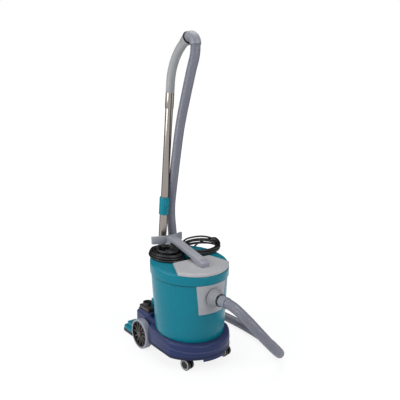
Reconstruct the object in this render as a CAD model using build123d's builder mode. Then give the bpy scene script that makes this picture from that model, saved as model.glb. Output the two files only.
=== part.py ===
from build123d import *
import os
from math import cos, radians, sin, tan

os.makedirs("parts", exist_ok=True)

# Wheeled tub vacuum cleaner, in millimetres. +Z is up and the hose coupling looks along -Y.
# Places are given from the tub's axis. "Left" is the -X side.

# Tub
TUB_RIM_R = 160.0
TUB_DRAFT = 3.1
TUB_WALL = 3.0
TUB_FLOOR_Z = 92.0
# Seam between tub and lid, and the deck on top of the lid, both falling towards the front
SEAM_Z = 366.0
SEAM_SLOPE = 4.5
RIM_UPSTAND = 5.0
DECK_Z = 413.0
DECK_SLOPE = 8.0
LID_R = 165.0
LID_WALL = 3.5
# Base
BASE_BOTTOM = 50.0
BASE_HALF = 150.0
BASE_FRONT = 174.0
NOSE_JOIN = -70.0
BASE_REAR = 236.0
BASE_RIM_Z = 127.0
BASE_SLOPE = 6.6
BASE_WALL = 5.0
BLOCK_TOP = 158.0
NOTCH_HALF = 31.0
NOTCH_FRONT = 221.0
# Rear wheels
WHEEL_R = 65.0
WHEEL_WIDTH = 31.0
WHEEL_FACE_X = 157.5
AXLE_Y = 163.0
AXLE_R = 5.0
TYRE_THICK = 8.0
HUB_R = 15.0
# Casters
CASTER_X = 97.0
CASTER_Y = -97.0
CASTER_R = 24.0
CASTER_TRAIL = 15.0
CASTER_YAW = 12.0
CASTER_WHEEL = 11.0
CASTER_WEB = 8.0
STEM_R = 5.5
# Hose coupling in the tub's front
INLET_Z = 300.0
INLET_R = 19.0
SOCKET_FLANGE_R = 38.0
SOCKET_FRONT = 204.0
PANEL_THICK = 5.0
PANEL_BOTTOM = 232.0
# Telescopic wand, standing in the floor nozzle and leaning forward
WAND_LEAN = 6.71
WAND_Y = 251.0
WAND_FOOT_Z = 100.0
LOWER_R = 17.5
UPPER_R = 16.0
TUBE_WALL = 1.2
LOWER_LONG = 535.0
UPPER_HIDDEN = 70.0
UPPER_TOP = 1005.0
COLLAR_LONG = 78.0
COLLAR_R = 21.5
RETRACT = 380.0
GRIP_R = 18.0
GRIP_START = 1045.0
GRIP_BEND = 200.0
GRIP_TURN = 62.3
BELL_R = 26.0
# The elbow turns the hose straight down.
ELBOW_BEND = 31.0
ELBOW_TURN = 180.0 - WAND_LEAN - GRIP_TURN
# Floor nozzle
NOZZLE_HALF = 128.0
NOZZLE_FRONT = 272.0
NOZZLE_BACK = 362.0
NOZZLE_TALL = 34.0
PIVOT_Y = 312.0
PIVOT_Z = 40.0
# Hose and mains lead
HOSE_R = 20.0
CORD_R = 4.0
# Clearances
RUN = 0.05
SLIP = 0.3
SEAT = 0.3

# The origin lies on the floor, midway between the hose socket's front and the floor nozzle's back.
TUB_Y = (SOCKET_FRONT - NOZZLE_BACK) / 2


def spot(x, y, z):
    """A point given from the tub's axis on the floor."""
    return (x, TUB_Y + y, z)


def sloped(height, slope):
    """A plane through the tub's axis that rises towards the rear."""
    return Plane(
        origin=spot(0, 0, height),
        x_dir=(1, 0, 0),
        z_dir=(0, -sin(radians(slope)), cos(radians(slope))),
    )


floor = Plane(origin=spot(0, 0, 0))
side = Plane(origin=spot(0, 0, 0), x_dir=(0, 1, 0), z_dir=(1, 0, 0))
front = Plane(origin=spot(0, 0, 0), x_dir=(1, 0, 0), z_dir=(0, -1, 0))
seam = sloped(SEAM_Z, SEAM_SLOPE)
deck = sloped(DECK_Z, DECK_SLOPE)
base_top = sloped(BASE_RIM_Z, BASE_SLOPE)
tub_axis = Axis(spot(0, 0, 0), (0, 0, 1))


def tub_radius(z):
    """Outside radius of the tub at a height."""
    return TUB_RIM_R - (SEAM_Z - z) * tan(radians(TUB_DRAFT))


def deck_z(y):
    """Height of the lid's deck over a place along the machine."""
    return DECK_Z + y * tan(radians(DECK_SLOPE))


def cone_between(low, high, grow=0.0):
    """The tub's tapered outside, thickened by grow, between two heights."""
    with BuildPart() as cone:
        with BuildSketch(side):
            Polygon(
                (0, low),
                (tub_radius(low) + grow, low),
                (tub_radius(high) + grow, high),
                (0, high),
                align=None,
            )
        revolve(axis=tub_axis)
    return cone.part


def sloped_disc(radius, low_plane, high_plane):
    """An upright round solid cut off by two sloping planes."""
    with BuildPart() as disc:
        with BuildSketch(floor.offset(SEAM_Z - 120)):
            Circle(radius)
        extrude(amount=260)
        split(bisect_by=low_plane, keep=Keep.TOP)
        split(bisect_by=high_plane, keep=Keep.BOTTOM)
    return disc.part


def finish(piece, name):
    """Names a finished piece and writes its STEP file."""
    piece.part.label = name
    export_step(piece.part, f"parts/{name}.step")


# ---- Base ----------------------------------------------------------------
# Moulded chassis: a rounded nose, straight flanks that step in beside the rear wheels, a sloping
# top with a well for the tub, raised corner blocks and a notch at the back for the parked wand.
ARCH_HALF = WHEEL_FACE_X - WHEEL_WIDTH - 4.0
ARCH_FRONT = AXLE_Y - WHEEL_R - 6.0
POCKET_TOP = 84.0


def base_line(inset):
    """Closed outline of the base, moved in by inset."""
    half = BASE_HALF - inset
    arch = ARCH_HALF - inset
    rear = BASE_REAR - inset
    nose_low = ARCH_FRONT - inset
    ThreePointArc((-half, NOSE_JOIN), (0, inset - BASE_FRONT), (half, NOSE_JOIN))
    Polyline((half, NOSE_JOIN), (half, nose_low), (arch, nose_low), (arch, rear))
    Polyline((arch, rear), (-arch, rear), (-arch, nose_low), (-half, nose_low), (-half, NOSE_JOIN))


with BuildPart() as base_chassis:
    with BuildSketch(floor.offset(BASE_BOTTOM)):
        with BuildLine():
            base_line(0)
        make_face()
    extrude(amount=130)
    split(bisect_by=base_top, keep=Keep.BOTTOM)
    rim_edges = base_chassis.faces().filter_by(base_top).sort_by(Axis.Z)[-1].edges()
    fillet(rim_edges, 13)
    with BuildSketch(floor.offset(POCKET_TOP)):
        with Locations((-92, 183), (92, 183)):
            RectangleRounded(56, 102, 14)
    extrude(amount=BLOCK_TOP - POCKET_TOP)
    with BuildSketch(floor.offset(BASE_BOTTOM)):
        with BuildLine():
            base_line(BASE_WALL)
        make_face()
    extrude(amount=POCKET_TOP - BASE_BOTTOM, mode=Mode.SUBTRACT)
    with BuildSketch(floor.offset(POCKET_TOP)):
        with Locations((0, 187)):
            Rectangle(2 * (ARCH_HALF - BASE_WALL), 56)
    extrude(amount=40, mode=Mode.SUBTRACT)
    add(cone_between(TUB_FLOOR_Z, BLOCK_TOP + 20, SLIP), mode=Mode.SUBTRACT)
    # The parking notch keeps its own wall round the wand's cuff.
    with BuildSketch(floor.offset(BASE_BOTTOM)):
        with Locations((0, (NOTCH_FRONT + BASE_REAR) / 2)):
            Rectangle(2 * (NOTCH_HALF + BASE_WALL), BASE_REAR - NOTCH_FRONT + 2 * BASE_WALL)
    extrude(amount=100)
    split(bisect_by=Plane(origin=spot(0, BASE_REAR, 0), z_dir=(0, 1, 0)), keep=Keep.BOTTOM)
    with BuildSketch(floor):
        with Locations((0, NOTCH_FRONT + 30)):
            Rectangle(2 * NOTCH_HALF, 60)
    extrude(amount=200, mode=Mode.SUBTRACT)
    # Axle bosses and caster bosses stand inside the skirt.
    with BuildSketch(side.offset(-ARCH_HALF)):
        with Locations((AXLE_Y, WHEEL_R)):
            Circle(12)
    extrude(amount=24)
    with BuildSketch(side.offset(ARCH_HALF)):
        with Locations((AXLE_Y, WHEEL_R)):
            Circle(12)
    extrude(amount=-24)
    with BuildSketch(floor.offset(BASE_BOTTOM + 4)):
        with Locations((-CASTER_X, CASTER_Y), (CASTER_X, CASTER_Y)):
            Circle(11)
    extrude(amount=POCKET_TOP - BASE_BOTTOM)
    with BuildSketch(side.offset(-ARCH_HALF - 1)):
        with Locations((AXLE_Y, WHEEL_R)):
            Circle(AXLE_R)
    extrude(amount=2 * ARCH_HALF + 2, mode=Mode.SUBTRACT)
    with BuildSketch(floor.offset(BASE_BOTTOM)):
        with Locations((-CASTER_X, CASTER_Y), (CASTER_X, CASTER_Y)):
            Circle(STEM_R + RUN)
    extrude(amount=32, mode=Mode.SUBTRACT)
    # Screw holes for the tub
    with BuildSketch(floor.offset(POCKET_TOP)):
        with PolarLocations(100, 4, start_angle=45):
            Circle(2.5)
    extrude(amount=TUB_FLOOR_Z - POCKET_TOP, mode=Mode.SUBTRACT)
finish(base_chassis, "base_chassis")

# ---- Rear wheels ----------------------------------------------------------
with BuildPart() as rear_axle:
    with BuildSketch(side.offset(-WHEEL_FACE_X + 3)):
        with Locations((AXLE_Y, WHEEL_R)):
            Circle(AXLE_R)
    extrude(amount=2 * WHEEL_FACE_X - 6)
finish(rear_axle, "rear_axle")

WHEEL_INNER_X = WHEEL_FACE_X - WHEEL_WIDTH
for hand, label in ((-1, "left"), (1, "right")):
    hub_plane = Plane(
        origin=spot(hand * WHEEL_INNER_X, AXLE_Y, WHEEL_R), x_dir=(0, 1, 0), z_dir=(hand, 0, 0)
    )
    with BuildPart() as wheel_rim:
        with BuildSketch(hub_plane):
            Circle(WHEEL_R - TYRE_THICK)
            Circle(WHEEL_R - TYRE_THICK - 5, mode=Mode.SUBTRACT)
        extrude(amount=WHEEL_WIDTH)
        with BuildSketch(hub_plane.offset(WHEEL_WIDTH / 2)):
            Circle(WHEEL_R - TYRE_THICK - 4)
            with PolarLocations(33, 6):
                Circle(12, mode=Mode.SUBTRACT)
        extrude(amount=6)
        with BuildSketch(hub_plane):
            Circle(HUB_R)
        extrude(amount=WHEEL_WIDTH - 5)
        with BuildSketch(hub_plane):
            Circle(AXLE_R + RUN)
        extrude(amount=WHEEL_WIDTH, mode=Mode.SUBTRACT)
    finish(wheel_rim, f"wheel_rim_{label}")
    with BuildPart() as tyre:
        with BuildSketch(hub_plane):
            Circle(WHEEL_R)
            Circle(WHEEL_R - TYRE_THICK, mode=Mode.SUBTRACT)
        extrude(amount=WHEEL_WIDTH)
        fillet(tyre.edges().filter_by(GeomType.CIRCLE).sort_by(lambda edge: edge.radius)[-2:], 3.5)
    finish(tyre, f"tyre_{label}")
    with BuildPart() as hub_cap:
        with BuildSketch(hub_plane.offset(WHEEL_WIDTH - 3)):
            Circle(HUB_R - 2)
        extrude(amount=4)
        with BuildSketch(hub_plane.offset(WHEEL_WIDTH - 5)):
            Circle(HUB_R - 2)
            Circle(AXLE_R + 2, mode=Mode.SUBTRACT)
        extrude(amount=2)
        fillet(hub_cap.faces().sort_by(Axis(spot(0, 0, 0), (hand, 0, 0)))[-1].edges(), 2)
    finish(hub_cap, f"hub_cap_{label}")

# ---- Casters --------------------------------------------------------------
yaw = radians(CASTER_YAW)
for hand, label in ((-1, "left"), (1, "right")):
    stem_place = spot(hand * CASTER_X, CASTER_Y, 0)
    stem_plane = Plane(origin=stem_place, x_dir=(cos(yaw), sin(yaw), 0), z_dir=(0, 0, 1))
    wheel_centre = (
        stem_place[0] + CASTER_TRAIL * sin(yaw),
        stem_place[1] - CASTER_TRAIL * cos(yaw),
        CASTER_R,
    )
    roll_plane = Plane(origin=wheel_centre, x_dir=(-sin(yaw), cos(yaw), 0), z_dir=(cos(yaw), sin(yaw), 0))
    with BuildPart() as caster_housing:
        with BuildSketch(stem_plane.offset(2 * CASTER_R + 1)):
            Circle(13)
        extrude(amount=BASE_BOTTOM + 4 - SLIP - 2 * CASTER_R - 1)
        with BuildSketch(stem_plane.offset(2 * CASTER_R + 2)):
            Circle(STEM_R)
        extrude(amount=BASE_BOTTOM + 30 - 2 * CASTER_R - 2)
        with BuildSketch(roll_plane.offset(-CASTER_WEB / 2)):
            with BuildLine():
                Polyline((-10, 0), (-10, CASTER_R + 1), (26, CASTER_R + 1), (26, 12))
                Polyline((26, 12), (8, -9), (-8, -9), (-10, 0))
            make_face()
        extrude(amount=CASTER_WEB)
        with BuildSketch(roll_plane.offset(-CASTER_WEB)):
            Circle(3 + RUN)
        extrude(amount=2 * CASTER_WEB, mode=Mode.SUBTRACT)
    finish(caster_housing, f"caster_housing_{label}")
    with BuildPart() as caster_wheels:
        for outward in (-1, 1):
            with BuildSketch(roll_plane.offset(outward * (CASTER_WEB / 2 + SLIP))):
                Circle(CASTER_R)
            extrude(amount=outward * CASTER_WHEEL)
        fillet(caster_wheels.edges().filter_by(GeomType.CIRCLE), 2)
        with BuildSketch(roll_plane.offset(-CASTER_WEB / 2 - SLIP - 1)):
            Circle(3)
        extrude(amount=CASTER_WEB + 2 * SLIP + 2)
    finish(caster_wheels, f"caster_wheels_{label}")

# ---- Tub -------------------------------------------------------------------
inlet = Plane(origin=spot(0, 0, INLET_Z), x_dir=(1, 0, 0), z_dir=(0, -1, 0))
with BuildPart() as tub:
    add(cone_between(TUB_FLOOR_Z, SEAM_Z + 40))
    add(cone_between(TUB_FLOOR_Z + TUB_WALL, SEAM_Z + 40, -TUB_WALL), mode=Mode.SUBTRACT)
    split(bisect_by=seam.offset(RIM_UPSTAND), keep=Keep.BOTTOM)
    with BuildSketch(inlet):
        Circle(INLET_R + 3 + SLIP)
    extrude(amount=200, mode=Mode.SUBTRACT)
    with BuildSketch(floor.offset(TUB_FLOOR_Z)):
        with PolarLocations(100, 4, start_angle=45):
            Circle(2.5)
    extrude(amount=TUB_WALL, mode=Mode.SUBTRACT)
finish(tub, "tub")

with BuildPart() as tub_screws:
    with BuildSketch(floor.offset(POCKET_TOP - 3)):
        with PolarLocations(100, 4, start_angle=45):
            Circle(5)
    extrude(amount=3)
    with BuildSketch(floor.offset(POCKET_TOP)):
        with PolarLocations(100, 4, start_angle=45):
            Circle(2.45)
    extrude(amount=TUB_FLOOR_Z + TUB_WALL - POCKET_TOP)
finish(tub_screws, "tub_screws")

# Grey panel wrapped round the tub's front, narrowing downwards
with BuildPart() as inlet_panel:
    add(cone_between(PANEL_BOTTOM, SEAM_Z + 20, PANEL_THICK))
    add(cone_between(PANEL_BOTTOM - 5, SEAM_Z + 25, 0.1), mode=Mode.SUBTRACT)
    split(bisect_by=seam.offset(-1), keep=Keep.BOTTOM)
    with BuildSketch(front):
        Polygon(
            (-58, PANEL_BOTTOM - 2),
            (58, PANEL_BOTTOM - 2),
            (74, SEAM_Z + 20),
            (-74, SEAM_Z + 20),
            align=None,
        )
    extrude(amount=200, mode=Mode.INTERSECT)
    with BuildSketch(inlet):
        Circle(INLET_R + 3 + SLIP)
    extrude(amount=200, mode=Mode.SUBTRACT)
finish(inlet_panel, "inlet_panel")

# Stepped socket for the hose, with a short tube through the wall
SOCKET_BACK = 138.0
with BuildPart() as inlet_socket:
    with BuildSketch(side):
        with BuildLine():
            Polyline(
                (-SOCKET_BACK, INLET_Z + INLET_R), (-SOCKET_BACK, INLET_Z + INLET_R + 3),
                (-168, INLET_Z + INLET_R + 3), (-168, INLET_Z + SOCKET_FLANGE_R),
                (-176, INLET_Z + SOCKET_FLANGE_R), (-179, INLET_Z + 32), (-190, INLET_Z + 30),
                (-193, INLET_Z + 26),
                (-SOCKET_FRONT, INLET_Z + 25),
                (-SOCKET_FRONT, INLET_Z + INLET_R + 3.5),
                (-186, INLET_Z + INLET_R + 3.5),
                (-186, INLET_Z + INLET_R),
                (-SOCKET_BACK, INLET_Z + INLET_R),
            )
        make_face()
    revolve(axis=Axis(spot(0, 0, INLET_Z), (0, 1, 0)))
finish(inlet_socket, "inlet_socket")

# Hose end: a sleeve that turns in the socket and a black locking ring in front of it
with BuildPart() as hose_sleeve:
    with BuildSketch(inlet.offset(187)):
        Circle(INLET_R + 3.5 - RUN)
        Circle(INLET_R - 1, mode=Mode.SUBTRACT)
    extrude(amount=247 - 187)
finish(hose_sleeve, "hose_sleeve")
with BuildPart() as locking_ring:
    with BuildSketch(inlet.offset(SOCKET_FRONT + SEAT)):
        Circle(26)
        Circle(INLET_R + 3.5 - RUN, mode=Mode.SUBTRACT)
    extrude(amount=8)
    fillet(locking_ring.edges().filter_by(GeomType.CIRCLE).sort_by(lambda edge: edge.radius)[-2:], 2)
finish(locking_ring, "locking_ring")

# ---- Filter and bag ----------------------------------------------------------
BAG_R = 122.0
with BuildPart() as dust_bag:
    with BuildSketch(floor.offset(TUB_FLOOR_Z + TUB_WALL + SEAT)):
        Circle(BAG_R)
    extrude(amount=140)
    with BuildSketch(floor.offset(TUB_FLOOR_Z + 100)):
        with Locations((0, -121)):
            Rectangle(70, 26)
    extrude(amount=130)
finish(dust_bag, "dust_bag")
with BuildPart() as bag_collar:
    with BuildSketch(inlet.offset(134 + SEAT)):
        Rectangle(76, 60)
        Circle(INLET_R, mode=Mode.SUBTRACT)
    extrude(amount=SOCKET_BACK - 134 - 2 * SEAT)
finish(bag_collar, "bag_collar")

# ---- Lid ------------------------------------------------------------------------
GASKET = 2.5
PLATE_LOW = RIM_UPSTAND + GASKET
PLATE_THICK = 4.0
PILLARS = 6
PILLAR_CIRCLE_R = 140.0
SCREW_HOLE_R = 2.2
GLAND_AZIMUTH = 40.0
gland_dir = (sin(radians(GLAND_AZIMUTH)), cos(radians(GLAND_AZIMUTH)), 0)
GLAND_Z = 402.0
gland_plane = Plane(origin=spot(0, 0, GLAND_Z), x_dir=(0, 0, 1), z_dir=gland_dir)
SWITCH_AZIMUTH = 25.0
SWITCH_Z = 398.0
switch_out = (cos(radians(SWITCH_AZIMUTH)), sin(radians(SWITCH_AZIMUTH)), 0)
switch_across = (-sin(radians(SWITCH_AZIMUTH)), cos(radians(SWITCH_AZIMUTH)), 0)
switch_plane = Plane(origin=spot(0, 0, SWITCH_Z), x_dir=switch_across, z_dir=switch_out)
rocker_place = switch_plane.from_local_coords((0, 0, 160))
rocker_pivot = Plane(origin=rocker_place, x_dir=switch_across, z_dir=(0, 0, 1))
with BuildPart() as lid_shell:
    add(sloped_disc(LID_R, seam, deck))
    add(sloped_disc(LID_R - LID_WALL, seam.offset(-30), deck.offset(-LID_WALL)), mode=Mode.SUBTRACT)
    with BuildSketch(gland_plane.offset(120)):
        Circle(8.2)
    extrude(amount=60, mode=Mode.SUBTRACT)
    with BuildSketch(switch_plane.offset(120)):
        Rectangle(32, 18)
    extrude(amount=60, mode=Mode.SUBTRACT)
    # Air outlet slots at the back
    with BuildSketch(Plane(origin=spot(0, 130, 402), x_dir=(-1, 0, 0), z_dir=(0, 1, 0))):
        with GridLocations(9, 0, 9, 1):
            Rectangle(4, 24)
    extrude(amount=60, mode=Mode.SUBTRACT)
    # Pillars under the deck hold the motor plate, and its screws go up into them.
    with BuildSketch(seam.offset(PLATE_LOW + PLATE_THICK)):
        with PolarLocations(PILLAR_CIRCLE_R, PILLARS, start_angle=30):
            Circle(6)
            Circle(SCREW_HOLE_R, mode=Mode.SUBTRACT)
    extrude(until=Until.NEXT, target=lid_shell.part)
finish(lid_shell, "lid_shell")

with BuildPart() as rim_gasket:
    with BuildSketch(seam.offset(RIM_UPSTAND)):
        Circle(TUB_RIM_R - 0.6)
        Circle(TUB_RIM_R - 7, mode=Mode.SUBTRACT)
    extrude(amount=GASKET)
finish(rim_gasket, "rim_gasket")

MOTOR_R = 62.0
with BuildPart() as motor_plate:
    with BuildSketch(seam.offset(PLATE_LOW)):
        Circle(LID_R - LID_WALL - 1.2)
        Circle(MOTOR_R + 4, mode=Mode.SUBTRACT)
        with PolarLocations(PILLAR_CIRCLE_R, PILLARS, start_angle=30):
            Circle(SCREW_HOLE_R, mode=Mode.SUBTRACT)
    extrude(amount=PLATE_THICK)
finish(motor_plate, "motor_plate")

with BuildPart() as plate_screws:
    with BuildSketch(seam.offset(PLATE_LOW - 2)):
        with PolarLocations(PILLAR_CIRCLE_R, PILLARS, start_angle=30):
            Circle(4)
    extrude(amount=2)
    with BuildSketch(seam.offset(PLATE_LOW)):
        with PolarLocations(PILLAR_CIRCLE_R, PILLARS, start_angle=30):
            Circle(SCREW_HOLE_R - RUN)
    extrude(amount=14)
finish(plate_screws, "plate_screws")

with BuildPart() as motor_mount:
    with BuildSketch(seam.offset(PLATE_LOW + PLATE_THICK)):
        Circle(MOTOR_R + 16)
        Circle(MOTOR_R + 2, mode=Mode.SUBTRACT)
    extrude(amount=4)
finish(motor_mount, "motor_mount")

FLANGE_LOW = PLATE_LOW + PLATE_THICK + 4
MOTOR_LOW = -78.0
MOTOR_TOP = 28.0
with BuildPart() as motor_housing:
    with BuildSketch(seam.offset(MOTOR_LOW)):
        Circle(MOTOR_R)
    extrude(amount=MOTOR_TOP - MOTOR_LOW)
    with BuildSketch(seam.offset(FLANGE_LOW)):
        Circle(MOTOR_R + 16)
    extrude(amount=3)
    with BuildSketch(seam.offset(MOTOR_LOW + 3)):
        Circle(MOTOR_R - 3)
    extrude(amount=20, mode=Mode.SUBTRACT)
    with BuildSketch(seam.offset(MOTOR_LOW + 27)):
        Circle(MOTOR_R - 3)
    extrude(amount=MOTOR_TOP - MOTOR_LOW - 31, mode=Mode.SUBTRACT)
    with BuildSketch(seam.offset(MOTOR_LOW)):
        Circle(22)
    extrude(amount=3, mode=Mode.SUBTRACT)
    with BuildSketch(seam.offset(MOTOR_LOW)):
        Circle(11)
    extrude(amount=MOTOR_TOP - MOTOR_LOW, mode=Mode.SUBTRACT)
finish(motor_housing, "motor_housing")
with BuildPart() as motor_bearings:
    with BuildSketch(seam.offset(MOTOR_LOW + 23)):
        Circle(11)
        Circle(4 + RUN, mode=Mode.SUBTRACT)
    extrude(amount=4)
    with BuildSketch(seam.offset(MOTOR_TOP - 4)):
        Circle(11)
        Circle(4 + RUN, mode=Mode.SUBTRACT)
    extrude(amount=4)
finish(motor_bearings, "motor_bearings")
with BuildPart() as motor_shaft:
    with BuildSketch(seam.offset(MOTOR_LOW + 5)):
        Circle(4)
    extrude(amount=MOTOR_TOP - MOTOR_LOW - 6)
finish(motor_shaft, "motor_shaft")
with BuildPart() as fan_wheel:
    with BuildSketch(seam.offset(MOTOR_LOW + 7)):
        Circle(54)
    extrude(amount=2)
    with BuildSketch(seam.offset(MOTOR_LOW + 9)):
        with PolarLocations(32, 8):
            Rectangle(38, 2)
        Circle(14)
    extrude(amount=8)
    with BuildSketch(seam.offset(MOTOR_LOW + 7)):
        Circle(4)
    extrude(amount=10, mode=Mode.SUBTRACT)
finish(fan_wheel, "fan_wheel")
with BuildPart() as armature:
    with BuildSketch(seam.offset(MOTOR_LOW + 38)):
        Circle(30)
        Circle(4, mode=Mode.SUBTRACT)
    extrude(amount=44)
finish(armature, "armature")
with BuildPart() as field_coils:
    with BuildSketch(seam.offset(MOTOR_LOW + 36)):
        Circle(MOTOR_R - 3)
        Circle(31.5, mode=Mode.SUBTRACT)
    extrude(amount=48)
finish(field_coils, "field_coils")

BASKET_R = 95.0
BASKET_LOW = -102.0
with BuildPart() as filter_basket:
    with BuildSketch(seam.offset(BASKET_LOW)):
        Circle(BASKET_R)
    extrude(amount=PLATE_LOW - BASKET_LOW)
    with BuildSketch(seam.offset(BASKET_LOW + 2)):
        Circle(BASKET_R - 2)
    extrude(amount=PLATE_LOW - BASKET_LOW, mode=Mode.SUBTRACT)
    with BuildSketch(seam.offset(BASKET_LOW)):
        with PolarLocations(62, 10):
            Circle(10)
        Circle(16)
    extrude(amount=2, mode=Mode.SUBTRACT)
finish(filter_basket, "filter_basket")
with BuildPart() as filter_cloth:
    with BuildSketch(seam.offset(BASKET_LOW - SEAT - 2)):
        Circle(BASKET_R + SEAT + 2)
    extrude(amount=PLATE_LOW - 2 - BASKET_LOW)
    with BuildSketch(seam.offset(BASKET_LOW - SEAT)):
        Circle(BASKET_R + SEAT)
    extrude(amount=PLATE_LOW - BASKET_LOW + 5, mode=Mode.SUBTRACT)
finish(filter_cloth, "filter_cloth")
with BuildPart() as exhaust_filter:
    with BuildSketch(seam.offset(PLATE_LOW + PLATE_THICK)):
        Circle(118)
        Circle(90, mode=Mode.SUBTRACT)
    extrude(amount=16)
finish(exhaust_filter, "exhaust_filter")

# Rocker switch in the lid's right side
with BuildPart() as switch_frame:
    with BuildSketch(switch_plane.offset(150)):
        Rectangle(31.6, 17.6)
    extrude(amount=LID_R - 1 - 150)
    with BuildSketch(switch_plane.offset(151.5)):
        Rectangle(27, 13.4)
    extrude(amount=20, mode=Mode.SUBTRACT)
    with BuildSketch(rocker_pivot):
        Circle(1.5 + RUN)
    extrude(amount=8.5, both=True, mode=Mode.SUBTRACT)
finish(switch_frame, "switch_frame")
with BuildPart() as power_rocker:
    with BuildSketch(switch_plane.offset(156)):
        Rectangle(24, 12.8)
    extrude(amount=LID_R + 1.5 - 156)
    fillet(power_rocker.faces().sort_by(Axis(spot(0, 0, 0), switch_out))[-1].edges(), 1.2)
    with BuildSketch(rocker_pivot):
        Circle(1.5)
    extrude(amount=8, both=True)
finish(power_rocker, "power_rocker")

# Grey cap over the lid's front, lying on the deck
CAP_THICK = 12.0
CAP_REAR = -14.0
with BuildPart() as lid_cap:
    with BuildSketch(floor.offset(SEAM_Z)):
        Circle(LID_R - 0.5)
        with BuildLine():
            Polyline((-92, CAP_REAR), (92, CAP_REAR), (130, -105), (130, -200))
            Polyline((130, -200), (-130, -200), (-130, -105), (-92, CAP_REAR))
        make_face(mode=Mode.INTERSECT)
    extrude(amount=120)
    split(bisect_by=deck, keep=Keep.TOP)
    split(bisect_by=deck.offset(CAP_THICK), keep=Keep.BOTTOM)
    fillet(lid_cap.faces().filter_by(deck).sort_by(Axis.Z)[-1].edges(), 6)
finish(lid_cap, "lid_cap")

# Carrying handle: a bridge from the cap to the rear, with the cord cleat at its back end
STRAP_HALF = 20.0


def strap_outline(grow):
    """Side outline of the bridge, its underside lowered by grow."""
    Polyline(
        (-112, deck_z(-112) + 12.12), (-60, deck_z(-60) + 12.12), (-35, 433.7 - grow), (112, 469.5 - grow),
        (118 - grow, deck_z(118 - grow)), (142, deck_z(142)), (146, 482), (132, 490), (112, 484.5),
        (-96, 433.5), (-112, 427), (-112, deck_z(-112) + 12.12),
    )


with BuildPart() as carry_handle:
    with BuildSketch(side.offset(-STRAP_HALF)):
        with BuildLine():
            strap_outline(0)
        make_face()
    extrude(amount=2 * STRAP_HALF)
    with BuildSketch(floor.offset(455)):
        with BuildLine():
            ThreePointArc((-78, 166), (0, 144), (78, 166))
            Line((78, 166), (76, 179))
            ThreePointArc((76, 179), (0, 157), (-76, 179))
            Line((-76, 179), (-78, 166))
        make_face()
    extrude(amount=33)
    split(bisect_by=deck, keep=Keep.TOP)
finish(carry_handle, "carry_handle")

# ---- Mains lead -------------------------------------------------------------------
with BuildPart() as cord_gland:
    with BuildSketch(gland_plane.offset(157)):
        Circle(8)
    extrude(amount=14)
    with BuildSketch(gland_plane.offset(171)):
        Circle(7)
    with BuildSketch(gland_plane.offset(192)):
        Circle(5)
    loft()
finish(cord_gland, "cord_gland")

lead_route = [
    spot(192 * gland_dir[0], 192 * gland_dir[1], GLAND_Z), spot(140, 167, 403), spot(169, 182, 412),
    spot(200, 172, 428), spot(220, 142, 442), spot(222, 108, 452), spot(205, 82, 455),
]


def corner_radii(points):
    """Largest tangent arc for each corner of a route of straight runs."""
    radii = []
    for before, corner, after in zip(points, points[1:], points[2:]):
        arriving = Vector(corner) - Vector(before)
        leaving = Vector(after) - Vector(corner)
        shorter = min(arriving.length, leaving.length)
        radii.append(0.45 * shorter / tan(radians(arriving.get_angle(leaving)) / 2))
    return radii


def run_tube(points, radius, label):
    """A solid tube of straight runs joined by tangent arcs."""
    radii = corner_radii(points)
    print(label, "radii", [round(value) for value in radii])
    with BuildPart() as tube:
        with BuildLine() as path:
            FilletPolyline(*points, radius=radii)
        with BuildSketch(Plane(origin=points[0], z_dir=Vector(points[1]) - Vector(points[0]))):
            Circle(radius)
        sweep()
    length = sum(edge.length for edge in path.edges())
    share = tube.part.volume / (3.14159265 * radius**2 * length)
    print(label, "length", round(length), "volume share", round(share, 4))
    return tube


cord_tail = run_tube(lead_route, CORD_R, "cord_tail")
finish(cord_tail, "cord_tail")

COIL_TALL = 17.0
STRAP_ROOM = 3.0
with BuildPart() as cord_coil:
    with BuildSketch(floor.offset(DECK_Z - 30)):
        with Locations((-62, 80)):
            Ellipse(76, 86)
        with Locations((108, 66)):
            Ellipse(100, 66)
        with Locations((-62, 80)):
            Ellipse(40, 50, mode=Mode.SUBTRACT)
        with Locations((114, 66)):
            Ellipse(62, 36, mode=Mode.SUBTRACT)
    extrude(amount=100)
    split(bisect_by=deck.offset(SEAT), keep=Keep.TOP)
    split(bisect_by=Plane(origin=spot(0, 0, 440), x_dir=(1, 0, 0), z_dir=(0, -0.23, 1)), keep=Keep.BOTTOM)
    with BuildSketch(side.offset(-STRAP_HALF - STRAP_ROOM)):
        Polygon(
            (-40, deck_z(-40) + COIL_TALL),
            (124, deck_z(124) + COIL_TALL),
            (124, 520),
            (-40, 520),
            align=None,
        )
        Polygon((114, 400), (200, 400), (200, 520), (114, 520), align=None)
    extrude(amount=2 * (STRAP_HALF + STRAP_ROOM), mode=Mode.SUBTRACT)
    # Room under the cleat
    with BuildSketch(side.offset(-90)):
        Polygon((138, 452), (200, 452), (200, 560), (138, 560), align=None)
    extrude(amount=180, mode=Mode.SUBTRACT)
finish(cord_coil, "cord_coil")

# Flat two-pin plug lying on the deck inside the left loop, its pins towards the front
PLUG_X = -50.0
PLUG_START = 88.0
PLUG_TALL = 21.0
PLUG_LONG = 38.0
PLUG_PIN_R = 2.4
PLUG_PIN_LONG = 17.0
PLUG_PIN_PITCH = 19.0
plug_plane = Plane(
    origin=deck.offset(PLUG_TALL / 2 + 1).from_local_coords((PLUG_X, PLUG_START, 0)),
    x_dir=(1, 0, 0),
    z_dir=-deck.y_dir,
)
with BuildPart() as power_plug:
    with BuildSketch(plug_plane):
        RectangleRounded(32, PLUG_TALL, 8)
    extrude(amount=PLUG_LONG)
    with BuildSketch(plug_plane):
        Circle(5.5)
    extrude(amount=-18)
    with BuildSketch(plug_plane.offset(PLUG_LONG)):
        with Locations((-PLUG_PIN_PITCH / 2, 0), (PLUG_PIN_PITCH / 2, 0)):
            Circle(PLUG_PIN_R)
    extrude(amount=PLUG_PIN_LONG)
finish(power_plug, "power_plug")

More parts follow.
